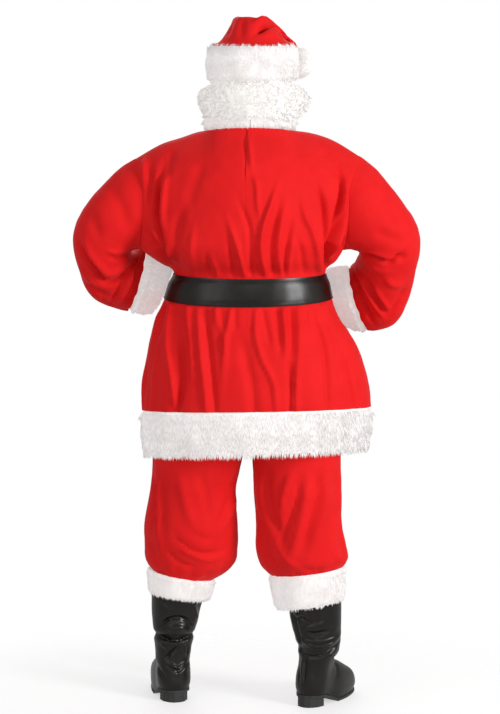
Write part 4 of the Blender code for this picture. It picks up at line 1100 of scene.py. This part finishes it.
# depth and width of the troughs along seams
ARM_DIP, SIDE_DIP, CENTRE_DIP, SHOULDER_DIP = (0.3, 5.0), (0.8, 4.0), (0.15, 4.0), (1.6, 6.0)
JACKET_BOTTOM = HEM_SEAM - 6           # the cloth runs on behind the hem's fur
SLEEVE_TUCK = -0.14                    # the sleeve's first row, under the jacket's edge
SLEEVE_TUCK_DEPTH, SLEEVE_STEP = 1.6, 28           # its depth, and the length of a step
LEG_TUCK = 6.0                         # how far a trouser leg runs on behind its fur
LEG_GATHERED, LEG_FINE_END = (376, 412), 437
LEG_COVERED, LEG_IN, LEG_CALM = (700, 760), 6.0, (640, 720)    # under the skirt
Gather = namedtuple("Gather", "deep count sway sways fine_deep fine_count")
SLEEVE_GATHER = Gather(1.6, 11, 40, 2, 1.1, 17)
LEG_GATHER = Gather(1.5, 9, 50, 1, 1.0, 15)


def dip(distance, depth, width):
    return -depth * np.exp(-(distance / width) ** 2)


def gathers(turn, gather):
    """Uneven small folds round a tube that is gathered into its trim."""
    return (gather.deep * sin(gather.count * turn + gather.sway * sin(gather.sways * turn))
            + gather.fine_deep * sin(gather.fine_count * turn))


def belt_calm(level):
    """0 under the belt and 1 well away from it."""
    low, high = BELT_LEVELS[0] - BELT_CLEAR, BELT_LEVELS[-1] + BELT_CLEAR
    return np.maximum(1 - ease(level, low - BELT_FADE, low), ease(level, high, high + BELT_FADE))


def from_side(turn):
    return np.minimum(turn % 180, 180 - turn % 180) * MM_PER_TURN


def panel_calm(turn, level):
    sewn = 1 - ease(level, ARMPIT - ARMPIT_CALM, ARMPIT) * (1 - ease(from_side(turn), 0, ARM_CALM))
    return belt_calm(level) * (1 - ease(level, NECK_HEIGHT - SHOULDER_CALM, NECK_HEIGHT)) * sewn


def panel_seams(start, end):
    """Shallow troughs along a panel's seams, and its lap at the slit; it runs from turn to turn."""
    def relief(turn, level):
        high = ease(level, *ARM_SEAM)
        arm = dip(from_side(turn), *ARM_DIP) * high
        below = dip(from_side(turn), *SIDE_DIP) * (1 - high)
        middle = np.zeros_like(turn)
        if (start, end) != (0, 180):
            slit = ease(level, *SLIT_END)
            past = (turn - CENTRE_SEAM) * MM_PER_TURN
            under = -(LAP_UNDER + LAP_RAISED * slit) * ease(past, *LAP_BEFORE) * (start == 180)
            over = LAP_RAISED * slit * (1 - ease(past, *LAP_AFTER)) * (start == CENTRE_SEAM)
            middle = dip(past, *CENTRE_DIP) * (1 - slit) + under + over
        shoulder = dip(NECK_HEIGHT - level, *SHOULDER_DIP)
        return arm + (below + middle) * belt_calm(level) + shoulder

    return relief


def cloth(node, *grid, **folding):
    """A sheet of red cloth that stands for a node."""
    piece = laid(node + "_cloth", *grid, **folding)
    return dressed(walled(piece, CLOTH_WALL), VELOUR, node)


def make_jacket():
    levels = joined_spreads((JACKET_BOTTOM, ARMPIT, 72), (ARMPIT, NECK_HEIGHT, 60))
    folds = FOLDS["jacket"] + FOLDS["skirt"]
    return [cloth(name, panel(name != "jacket_front"), spread(start, end, columns), levels,
                  behind=folds, before=mirrored(hidden(folds), NECK_MIDDLE), calm=panel_calm,
                  relief=panel_seams(start, end))
            for name, start, end, columns in (
                ("jacket_back_left", 180, CENTRE_SEAM + LAP_TURN, 74),
                ("jacket_back_right", CENTRE_SEAM, 360, 74), ("jacket_front", 0, 180, 80))]


def make_sleeve(side):
    end = SLEEVE_CLOTH_END[side]

    def relief(turn, step):
        tucked = -SLEEVE_TUCK_DEPTH * (1 - ease(step, SLEEVE_TUCK, 0.04))
        gathered = gathers(turn, SLEEVE_GATHER) * ease(step, end - 1.6, end - 0.1)
        return tucked + dip(step * SLEEVE_STEP, *ARM_DIP) + gathered

    def calm(turn, step):
        return ease(step, 0, 0.6) * (1 - ease(step, end - 0.6, end))

    steps = np.concatenate(((SLEEVE_TUCK, SLEEVE_TUCK / 2), spread(0, end, 80)))
    folds = FOLDS[f"sleeve_{side}"]
    return cloth(f"sleeve_{side}", sleeve(side), spread(0, 360, 76), steps, behind=folds,
                 before=hidden(folds), calm=calm, relief=relief)


def make_trouser_leg(side):
    levels = joined_spreads((LEGS[side][0].height - LEG_TUCK, LEG_FINE_END, 15),
                            (LEG_FINE_END, SEAT_SEAM_END, 46),
                            (SEAT_SEAM_END, BELT_LEVELS[0] - SEAM, 12))

    def keep(turn, level):
        return (level <= SEAT_SEAM_END) | (cos(turn) * SIGN[side] > -0.01)

    def calm(turn, level):
        return 1 - ease(level, *LEG_CALM)

    def relief(turn, level):
        gathered = gathers(turn, LEG_GATHER) * (1 - ease(level, *LEG_GATHERED))
        return gathered - LEG_IN * ease(level, *LEG_COVERED)

    folds = FOLDS[f"leg_{side}"]
    return cloth(f"trouser_leg_{side}", leg(side), spread(0, 360, 80), levels, behind=folds,
                 before=hidden(folds), calm=calm, keep=keep, relief=relief)


def make_crown():
    last = len(HAT_CROWN) - 1

    def calm(turn, step):
        return ease(step, 0, 0.8) * (1 - ease(step, last - 2, last))

    return cloth("hat_crown", hat_crown, spread(0, 360, 80),
                 joined_spreads((0, last, 50), (last, last + 1, 4)), behind=FOLDS["hat"],
                 before=mirrored(FOLDS["hat"][1:4], HAT_MIDDLE), calm=calm, wave=1.8)


# ---------------- plush trim

PILE_INSET, PILE_INSET_UP = 0.35, 0.8      # the backing lies this share of a lock in from the face
OVERHANG = 9.0                             # how far the pile hangs past a trim's free edge
WELD = 0.05
PILE_EDGE = (0.02, 0.98)                   # shares of the profile between which locks grow
EDGE_FADE, EDGE_PULL = 9, 12               # how soon locks rise and the backing sinks
TURN_STEP, SHARE_STEP = 0.4, 0.004         # small steps that show which way a surface runs
SWIRL_FINE, SWIRL_LOOSE = 0.6, 0.14
STAND, STAND_UNEVEN, STAND_LOOSE, LIE = 0.24, 0.20, 0.05, 0.9
LONG, LONG_UNEVEN, LONG_LOOSE = 0.85, 0.3, 0.35
WIDTHS, OVERHANGS = (0.8, 0.5), (0.7, 0.6)                  # the least share, and its range
POMPOM_LONG, POMPOM_WIDE, POMPOM_LOOSE, POMPOM_BEND = (0.7, 0.5), (0.8, 0.4), 0.34, 0.25
LOCK_BELLY, LOCK_SINK, LOCK_BEND = 1.5, 1.5, 0.12
BROAD_SWIRL, FINE_SWIRL, STAND_WAVE, LENGTH_WAVE = (38.0, 3), (12.0, 8), (17.0, 12), (9.0, 21)
DOWN = ((0.0, -1.0), (1.0, -1.0))

# A trim's lay says which way its pile is combed, from -1 down to 1 up, at shares of its profile;
# sewn is the share at which it is sewn on, if not at both.
Trim = namedtuple("Trim", "name node place start end profile height count length width lay "
                          "spread sewn grid")
HEM_PROFILE = ((0.0, -8), (0.0, -1), (0.08, 5), (0.5, 8), (0.92, 4), (1.0, -1), (1.0, -8))
CUFF_PROFILE = ((0.0, -7), (0.0, 0), (0.1, 6), (0.5, 11), (0.9, 10), (1.0, 2), (1.0, -7))
COLLAR_PROFILE = ((0, -10), (0, 6), (0.25, 12), (0.7, 13), (1, 8), (1, -10))
LEG_PROFILE = tuple((share, -inward) for share, inward in LEG_FUR_PROFILE)


def lock_shape():
    """One tapered lock of pile, 1 long along +Z and 1 across at its root: points and triangles."""
    bm = bmesh.new()
    bmesh.ops.create_cone(bm, cap_ends=True, cap_tris=False, segments=3, radius1=0.5,
                          radius2=0.001, depth=1.0)
    bmesh.ops.translate(bm, verts=bm.verts, vec=(0, 0, 0.5))
    bmesh.ops.remove_doubles(bm, verts=bm.verts, dist=0.01)
    sides = [edge for edge in bm.edges if abs(edge.verts[0].co.z - edge.verts[1].co.z) > 0.5]
    bmesh.ops.subdivide_edges(bm, edges=sides, cuts=1)
    for vert in bm.verts:
        if 0.01 < vert.co.z < 0.99:
            vert.co.x *= LOCK_BELLY
            vert.co.y *= LOCK_BELLY
    bmesh.ops.triangulate(bm, faces=bm.faces)
    return shape_arrays(bm)


def shape_arrays(bm):
    bm.verts.index_update()
    spots = spots_of(bm)
    corners = np.array([[vert.index for vert in face.verts] for face in bm.faces])
    bm.free()
    return spots, corners


def face_out(spots, corners):
    """The way out of a shell at each of its points."""
    first, second, third = (spots[corners[:, corner]] for corner in range(3))
    across = np.cross(second - first, third - first)
    total = np.zeros_like(spots)
    for corner in range(3):
        np.add.at(total, corners[:, corner], across)
    return unit(total)


def piled(name, base, shape, locks, faces, along, out):
    """One object of a base shell and the copies of a shape that stand on it.

    along is 0 at a lock's root and 1 at its tip, and sets the pile's painted shade, darkest at 0.
    out is the way out at each root, by which the pile is lit softly.
    """
    spots = np.concatenate((base[0], locks))
    corners = np.concatenate((base[1], faces + len(base[0])))
    along = np.concatenate((np.zeros(len(base[0])), along.ravel()))
    facing = np.concatenate((face_out(*base), np.repeat(out, len(shape[0]), axis=0)))
    mesh = bpy.data.meshes.new(name)
    mesh.vertices.add(len(spots))
    mesh.vertices.foreach_set("co", ((spots - (0, 0, NECK_HEIGHT)) * MM).ravel())
    mesh.loops.add(corners.size)
    mesh.loops.foreach_set("vertex_index", corners.ravel().astype(np.int32))
    mesh.polygons.add(len(corners))
    mesh.polygons.foreach_set("loop_start", np.arange(0, corners.size, 3, dtype=np.int32))
    mesh.attributes.new("along", "FLOAT", "POINT").data.foreach_set("value", along)
    mesh.attributes.new("facing", "FLOAT_VECTOR", "POINT").data.foreach_set(
        "vector", facing.ravel())
    mesh.update(calc_edges=True)
    return in_frame(name, mesh)


def planted(shape, roots, ups, sides, width, length, bend=0.0, sink=LOCK_SINK):
    """Copies of a shape stood on roots along ups, bent towards sides: points, triangles, along."""
    spots, corners = shape
    thirds = np.cross(ups, sides)
    x, y, z = (spots[:, axis][None, :, None] for axis in range(3))
    wide, long = width[:, None, None], length[:, None, None]
    bent = (bend * length)[:, None, None]
    placed = (roots - ups * sink)[:, None] + (sides[:, None] * x + thirds[:, None] * y) * wide
    placed = placed + ups[:, None] * z * long
    placed = placed + sides[:, None] * (z ** 2) * bent
    faces = corners[None] + (np.arange(len(roots)) * len(spots))[:, None, None]
    along = np.broadcast_to(spots[:, 2], (len(roots), len(spots)))
    return placed.reshape(-1, 3), faces.reshape(-1, 3), along


def trim_face(trim):
    """The trim's face as a function of turn, share of its profile and inset, and its corners."""
    rises = np.array([rise for rise, out in trim.profile]) * trim.height
    outs = np.array([out for rise, out in trim.profile])
    lengths = np.hypot(np.diff(rises), np.diff(outs))
    keys = np.concatenate(([0], np.cumsum(lengths))) / lengths.sum()
    inset = PILE_INSET * trim.length

    def surface(turn, share):
        rise = np.interp(share, keys, rises / trim.height)
        out = np.interp(share, keys, outs)
        pull = inset * np.minimum(1, np.minimum(share, 1 - share) * EDGE_PULL)
        rise = rise + (0.5 - rise) * 2 * inset / trim.height * PILE_INSET_UP
        return trim.place(turn, rise, out - pull)

    return surface, keys


def trim_backing(trim, surface):
    """A closed shell under the pile."""
    bm, across, along = flat_grid(*trim.grid)
    move_to(bm, surface(trim.start + (trim.end - trim.start) * across, along))
    bmesh.ops.remove_doubles(bm, verts=bm.verts, dist=WELD)
    if trim.end - trim.start >= 360:
        bmesh.ops.bridge_loops(bm, edges=rim_of(bm))
    else:
        bmesh.ops.holes_fill(bm, edges=rim_of(bm), sides=0)
    bmesh.ops.triangulate(bm, faces=bm.faces)
    bmesh.ops.recalc_face_normals(bm, faces=bm.faces)
    return shape_arrays(bm)


def loose(rng, count, least, reach):
    return least + reach * rng.random(count)


def make_trim(trim, rng):
    """A strip of plush: a soft backing and its pile, combed along lay."""
    surface, keys = trim_face(trim)
    backing = trim_backing(trim, surface)
    turn = trim.start + (trim.end - trim.start) * rng.random(trim.count)
    first = keys[1] if trim.sewn == 0 else PILE_EDGE[0]
    last = keys[-2] if trim.sewn == 1 else PILE_EDGE[1]
    share = first + (last - first) * rng.random(trim.count)
    roots = surface(turn, share)
    side = unit(surface(turn + TURN_STEP, share) - surface(turn - TURN_STEP, share))
    up = unit(surface(turn, share + SHARE_STEP) - surface(turn, share - SHARE_STEP))
    out = unit(np.cross(side, up))
    swirl = (waves(roots, *BROAD_SWIRL) + waves(roots, *FINE_SWIRL) * SWIRL_FINE
             + rng.normal(0, SWIRL_LOOSE, trim.count))
    combed = np.interp(share, *zip(*trim.lay))
    edge = 1 if trim.sewn is None else np.minimum(1, abs(share - trim.sewn) * EDGE_FADE)
    angle = swirl * trim.spread
    flat = unit(up * (combed * np.cos(angle))[:, None] + side * np.sin(angle)[:, None])
    stand = (STAND + STAND_UNEVEN * waves(roots, *STAND_WAVE)
             + rng.normal(0, STAND_LOOSE, trim.count))
    ups = unit(out * (stand * edge)[:, None] + flat * LIE)
    toward = unit(flat - ups * (flat * ups).sum(1, keepdims=True))
    uneven = LONG + LONG_UNEVEN * waves(roots, *LENGTH_WAVE) + LONG_LOOSE * rng.random(trim.count)
    length = trim.length * uneven
    if trim.sewn is not None:
        length = np.minimum(length, OVERHANG * loose(rng, trim.count, *OVERHANGS)
                            + abs(share - 1 + trim.sewn) * trim.height)
    width = trim.width * loose(rng, trim.count, *WIDTHS)
    pile = planted(LOCK, roots, ups, toward, width, length, LOCK_BEND)
    return dressed(piled(trim.name, backing, LOCK, *pile, out), PLUSH, trim.node)


def make_trims(rng):
    yield make_trim(Trim("hem_plush", "hem_fur", hem, 0, 360, HEM_PROFILE, 128, 13600, 24, 2.9,
                         DOWN, 0.30, 1, (220, 18)), rng)
    yield make_trim(Trim("collar_plush", "collar_fur", collar, 271.2, 628.8, COLLAR_PROFILE, 45,
                         5000, 16, 2.6, DOWN, 0.8, None, (120, 18)), rng)
    yield make_trim(Trim("hat_plush", "hat_band", hat_band, 0, 360, BAND_PROFILE, 98, 8000, 13, 3.0,
                         ((0, -1.0), (0.55, -0.6), (0.78, 0.7), (1, 1.0)), 0.9, None, (120, 18)),
                    rng)
    for side, count in (("left", 4800), ("right", 4900)):
        def cuff(turn, share, out, end=SLEEVE_CLOTH_END[side], place=sleeve(side)):
            return place(turn, end + CUFF_START + (CUFF_STEPS - CUFF_START) * share, out)

        yield make_trim(Trim(f"cuff_{side}_plush", f"cuff_fur_{side}", cuff, 0, 360, CUFF_PROFILE,
                             74, count, 14, 2.9, ((0, 0.6), (0.2, 1), (1, 1.0)), 0.7, 0, (96, 18)),
                        rng)
    for side, tall in (("left", 64), ("right", 92)):
        def leg_cuff(turn, share, out, place=leg_fur(side)):
            return place(turn, share, -out)

        yield make_trim(Trim(f"leg_{side}_plush", f"leg_fur_{side}", leg_cuff, 0, 360, LEG_PROFILE,
                             tall, 62 * tall, 10, 2.6, DOWN, 0.5, 1, (96, 16)), rng)


def even_directions(count):
    """Unit vectors spread evenly over a sphere."""
    at = np.arange(count) + 0.5
    z = 1 - 2 * at / count
    turn = at * 180 * (3 - math.sqrt(5))
    return points(np.sqrt(1 - z ** 2) * cos(turn), np.sqrt(1 - z ** 2) * sin(turn), z)


def make_pompom(rng, count=3700, core=27.0, length=17.0, width=2.9):
    bm = bmesh.new()
    bmesh.ops.create_icosphere(bm, subdivisions=4, radius=core)
    bmesh.ops.translate(bm, verts=bm.verts, vec=POMPOM_AT)
    ball = shape_arrays(bm)
    out = even_directions(count)
    swirl = unit(rng.normal(0, 1, (count, 3)) + (0, 0, -0.6))
    roots = np.array(POMPOM_AT) + out * core
    ups = unit(out + POMPOM_LOOSE * swirl)
    sides = unit(np.cross(ups, unit(rng.normal(0, 1, (count, 3)))))
    high = length * loose(rng, count, *POMPOM_LONG)
    wide = width * loose(rng, count, *POMPOM_WIDE)
    pile = planted(LOCK, roots, ups, sides, wide, high, rng.normal(0, POMPOM_BEND, count))
    made = piled("hat_pompom_plush", ball, LOCK, *pile, out)
    return dressed(made, PLUSH, "hat_pompom")


# ---------------- wig

CAP_WALL, CAP_LUMPS, CAP_DOWN = 6.0, 2.2, -1.0
CAP_GRID = (130, 34)
CURL_TURNS, CURL_STEPS, CURL_THICK, CURL_PITCH = 2.1, 17, 0.2, 0.62
CURL_HEIGHTS, CURL_RADII, CURL_STRETCH = (1594, 1700), (3.6, 7.4), (0.8, 2.0)
CURL_HANG, CURL_AROUND, CURL_STAND = (-0.2, 1.2), 0.75, 0.35
CURL_OVERLAP = 6                       # degrees by which ringlets pass the face's edges
CURL_LOWEST, CURL_LOOSE, CURL_CROWDING = 1.0, 8.0, 0.8      # how deep in and far out they lie
CURL_LIT_IN, CURL_LIT_OVER = 2, 10     # painted shade: ringlets are painted darkest this far in, and lighten over this much further out
CAP_WAVE, CAP_WAVE_ENDS = (11.0, 4), (1668, 1680)
CAP_SHORT, CAP_CLOSED = 4, 12          # below the wig's top: the cap's rim, and what is closed
WIG_OVAL = (1.0, 0.965)                # the wig's depth as a share of its width


def curl_shape():
    """A ringlet round +Z: a thin circle carried along a helix of radius 1."""
    rise = CURL_PITCH * CURL_TURNS
    bm = bmesh.new()
    bmesh.ops.create_circle(bm, cap_ends=True, segments=3, radius=CURL_THICK)
    bmesh.ops.rotate(bm, verts=bm.verts, cent=(0, 0, 0),
                     matrix=Matrix.Rotation(math.radians(90), 3, "X"))
    bmesh.ops.translate(bm, verts=bm.verts, vec=(1, 0, 0))
    bmesh.ops.spin(bm, geom=bm.faces[:], cent=(0, 0, 0), axis=(0, 0, 1),
                   dvec=(0, 0, rise / CURL_STEPS), angle=2 * math.pi * CURL_TURNS,
                   steps=CURL_STEPS)
    bmesh.ops.remove_doubles(bm, verts=bm.verts, dist=0.001)
    bmesh.ops.recalc_face_normals(bm, faces=bm.faces)
    bmesh.ops.triangulate(bm, faces=bm.faces)
    spots, corners = shape_arrays(bm)
    return spots - (0, 0, rise / 2), corners


def wig_cap():
    """A close cap, open at the face, under the ringlets."""
    bm, across, along = flat_grid(*CAP_GRID)
    turn = 360 * across
    height = WIG[0].height + (WIG_TOP - CAP_SHORT - WIG[0].height) * along
    bare = (height < WIG_FACE_EDGE) & (turn > WIG_FACE[0] + 1) & (turn < WIG_FACE[1] - 1)
    lumps = CAP_LUMPS * waves(wig(turn, height, CAP_DOWN), *CAP_WAVE) * (
        1 - ease(height, *CAP_WAVE_ENDS))
    move_to(bm, wig(turn, height, lumps + CAP_DOWN))
    bm.verts.index_update()
    gone = [face for face in bm.faces if all(bare[vert.index] for vert in face.verts)]
    bmesh.ops.delete(bm, geom=gone, context="FACES")
    bmesh.ops.remove_doubles(bm, verts=bm.verts, dist=WELD)
    crown = [edge for edge in rim_of(bm)
             if min(vert.co.z for vert in edge.verts) > WIG_TOP - CAP_CLOSED]
    bmesh.ops.holes_fill(bm, edges=crown, sides=0)
    bmesh.ops.recalc_face_normals(bm, faces=bm.faces)
    bmesh.ops.solidify(bm, geom=bm.faces[:], thickness=CAP_WALL)
    bmesh.ops.triangulate(bm, faces=bm.faces)
    return shape_arrays(bm)


def make_wig(rng, count=1230):
    """A close cap with ringlets of loose hair all over what the hat leaves free."""
    cap = wig_cap()
    turn = rng.uniform(WIG_FACE[1] - CURL_OVERLAP, 360 + WIG_FACE[0] + CURL_OVERLAP, count)
    height = rng.uniform(*CURL_HEIGHTS, count)
    out = rng.random(count) ** CURL_CROWDING * CURL_LOOSE - CURL_LOWEST
    roots = wig(turn, height, out)
    outward = unit(wig(turn, height, out + 1) - roots)
    around = unit(np.cross(outward, (0, 0, 1)))
    axis = unit(np.array((0, 0, -1.0)) * rng.uniform(*CURL_HANG, count)[:, None]
                + around * rng.normal(0, CURL_AROUND, count)[:, None]
                + outward * rng.normal(0, CURL_STAND, count)[:, None])
    sides = unit(np.cross(axis, rng.normal(0, 1, (count, 3))))
    radius = rng.uniform(*CURL_RADII, count)
    curls, faces, _ = planted(CURL, roots, axis, sides, radius,
                              radius * rng.uniform(*CURL_STRETCH, count), sink=0.0)
    spans = curls.reshape(count, -1, 3) - np.array((HAT_MIDDLE, 0, 0))
    reach = (np.linalg.norm(spans[..., :2] / WIG_OVAL, axis=-1)
             - read(WIG, height).half_width[:, None])
    # painted shade: ringlets lying deeper in the wig are painted darker, as if shaded by those over
    # them, and the cap beneath gets the darkest painted shade
    painted_lightness = np.clip((reach + CURL_LIT_IN) / CURL_LIT_OVER, 0, 1)
    made = piled("wig_ringlets", cap, CURL, curls, faces, painted_lightness, outward)
    return dressed(made, RINGLETS, "wig_curls")


# ---------------- belt and boots

BELT_MIDDLE = 1150.0
BELT_STITCH, STITCH_DIP = 4.0, (0.45, 1.1)         # the line pressed in along the belt's edges
BELT_FINE, BELT_BROAD = (30.0, 9), (48.0, 2)
BEVEL = 0.30                           # of a metal piece's thickness
Plate = namedtuple("Plate", "name node across up thick out open_cells")
PLATES = rows_of(Plate,
    ("buckle_metal", "belt_buckle", BUCKLE_ACROSS, BUCKLE_UP, BUCKLE_THICK, 0.0, ((1, 1), (3, 1))),
    ("prong_metal", "belt_prong", PRONG_ACROSS, PRONG_UP, PRONG_THICK, PRONG_THICK + SEAM, ()))
SHAFT, ANKLE_END, FOOT_END = (96, 140), (200, 250), 112
BACK_DIP, VAMP_DIP, VAMP_LOW, VAMP_RISE = (1.0, 1.3), (0.7, 1.6), 92, 34
WELT_OUT, WELT_HIGH = 0.8, 4
ANKLE_WAVE, ANKLE_DEPTH = (26.0, 6), 1.5


def make_strap():
    low, high = BELT_LEVELS[0], BELT_LEVELS[-1]

    def relief(turn, level):
        edge = np.minimum(level - low, high - level)
        bulge = (0.5 * waves(skirt(turn, level), *BELT_FINE)
                 + 0.8 * waves(skirt(turn, np.full_like(level, BELT_MIDDLE)), *BELT_BROAD))
        return dip(edge - BELT_STITCH, *STITCH_DIP) + bulge * ease(edge, 0, 12)

    strap = laid("belt_strap_vinyl", lambda turn, level: skirt(turn, level, BELT_OUT + BELT_THICK),
                 spread(0, 360, 240), spread(low, high, 26), relief=relief, wave=0.0)
    dressed(walled(strap, BELT_THICK - 0.3), VINYL_BLACK, "belt_strap")


def make_plate(plate):
    """A flat piece of metal on the belt's front, cut into cells of which some are open."""
    middle = float(body(np.array(90.0), np.array(BUCKLE_AT))[0])
    columns, rows = len(plate.across) - 1, len(plate.up) - 1
    bm, across, along = flat_grid(columns, rows)
    x = np.array(plate.across)[np.rint(across * columns).astype(int)]
    z = np.array(plate.up)[np.rint(along * rows).astype(int)]
    move_to(bm, points(middle - x, BUCKLE_FACE + plate.out, BUCKLE_AT + z))
    gone = []
    for face in bm.faces:
        spot = face.calc_center_median()
        column = sum(middle - spot.x > value for value in plate.across) - 1
        row = sum(spot.z - BUCKLE_AT > value for value in plate.up) - 1
        if (column, row) in plate.open_cells:
            gone.append(face)
    bmesh.ops.delete(bm, geom=gone, context="FACES")
    raised = bmesh.ops.extrude_face_region(bm, geom=bm.faces[:])["geom"]
    bmesh.ops.translate(bm, verts=[item for item in raised if isinstance(item, bmesh.types.BMVert)],
                        vec=(0, -plate.thick, 0))
    bmesh.ops.recalc_face_normals(bm, faces=bm.faces)
    piece = finished(plate.name, bm)
    bevel = piece.modifiers.new("edge", "BEVEL")
    bevel.width, bevel.segments = BEVEL * plate.thick * MM, 4
    dressed(piece, BRASS, plate.node)


def make_boot(side):
    place = boot(side)
    bottom, top = BOOTS[side][0].height, BOOTS[side][-1].height

    def relief(turn, height):
        back = dip(abs(turn - 270), *BACK_DIP) * (1 - ease(height, top - 4, top))
        vamp_line = VAMP_LOW + VAMP_RISE * ease(abs(turn - 90), 40, 100)
        vamp = dip(height - vamp_line, *VAMP_DIP) * ease(-sin(turn), -1, 0.6)
        welt = WELT_OUT * (1 - ease(height, bottom, bottom + WELT_HIGH))
        ankle = (ANKLE_DEPTH * waves(place(turn, height), *ANKLE_WAVE) * ease(height, *SHAFT)
                 * (1 - ease(height, *ANKLE_END)))
        return back + 0.6 * vamp + welt + ankle

    folds = FOLDS[f"boot_{side}"]
    piece = laid(f"boot_{side}_vinyl", place, spread(0, 360, 96),
                 joined_spreads((bottom, FOOT_END, 20), (FOOT_END, top, 54)), behind=folds,
                 before=[fold._replace(depth=0.7 * fold.depth) for fold in folds], relief=relief,
                 wave=0.8)
    dressed(walled(piece, VINYL - 0.6), VINYL_BLACK, f"boot_upper_{side}")
    for node in (f"boot_sole_{side}", f"boot_heel_{side}"):
        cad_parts[node].material_slots[0].material = SOLE_BLACK


# ---------------- the suit

Cut = namedtuple("Cut", "name width length area hangs_from trims")
CUTS = rows_of(Cut,  # what shows of each panel, in metres and square metres
    ("jacket_back_left_cloth", 0.42, 0.79, 0.305, "collar_plush", ()),
    ("jacket_back_right_cloth", 0.43, 0.79, 0.310, "collar_plush", ("collar_plush",)),
    ("jacket_front_cloth", 0.84, 0.79, 0.600, "jacket_back_right_cloth", ("hem_plush",)),
    ("sleeve_left_cloth", 0.52, 0.48, 0.210, "jacket_back_left_cloth", ("cuff_left_plush",)),
    ("sleeve_right_cloth", 0.54, 0.50, 0.230, "jacket_back_right_cloth", ("cuff_right_plush",)),
    ("trouser_leg_left_cloth", 0.74, 0.80, 0.520, "waistband", ("leg_left_plush",)),
    ("trouser_leg_right_cloth", 0.74, 0.80, 0.510, "waistband", ("leg_right_plush",)),
    ("hat_crown_cloth", 0.60, 0.22, 0.072, "hat_plush", ("hat_plush", "hat_pompom_plush")))

set_scene()
set_floor()
LOCK, CURL = lock_shape(), curl_shape()
rng = np.random.default_rng(25)
cloths = {piece.name: piece for piece in (
    *make_jacket(), *(make_sleeve(side) for side in SIGN),
    *(make_trouser_leg(side) for side in SIGN), make_crown())}
trims = {piece.name: piece for piece in (*make_trims(rng), make_pompom(rng))}
make_wig(rng)
make_strap()
for plate in PLATES:
    make_plate(plate)
for side in SIGN:
    make_boot(side)
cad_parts["waistband"].material_slots[0].material = VELOUR
for cut in CUTS:
    [trims[name] for name in cut.trims]
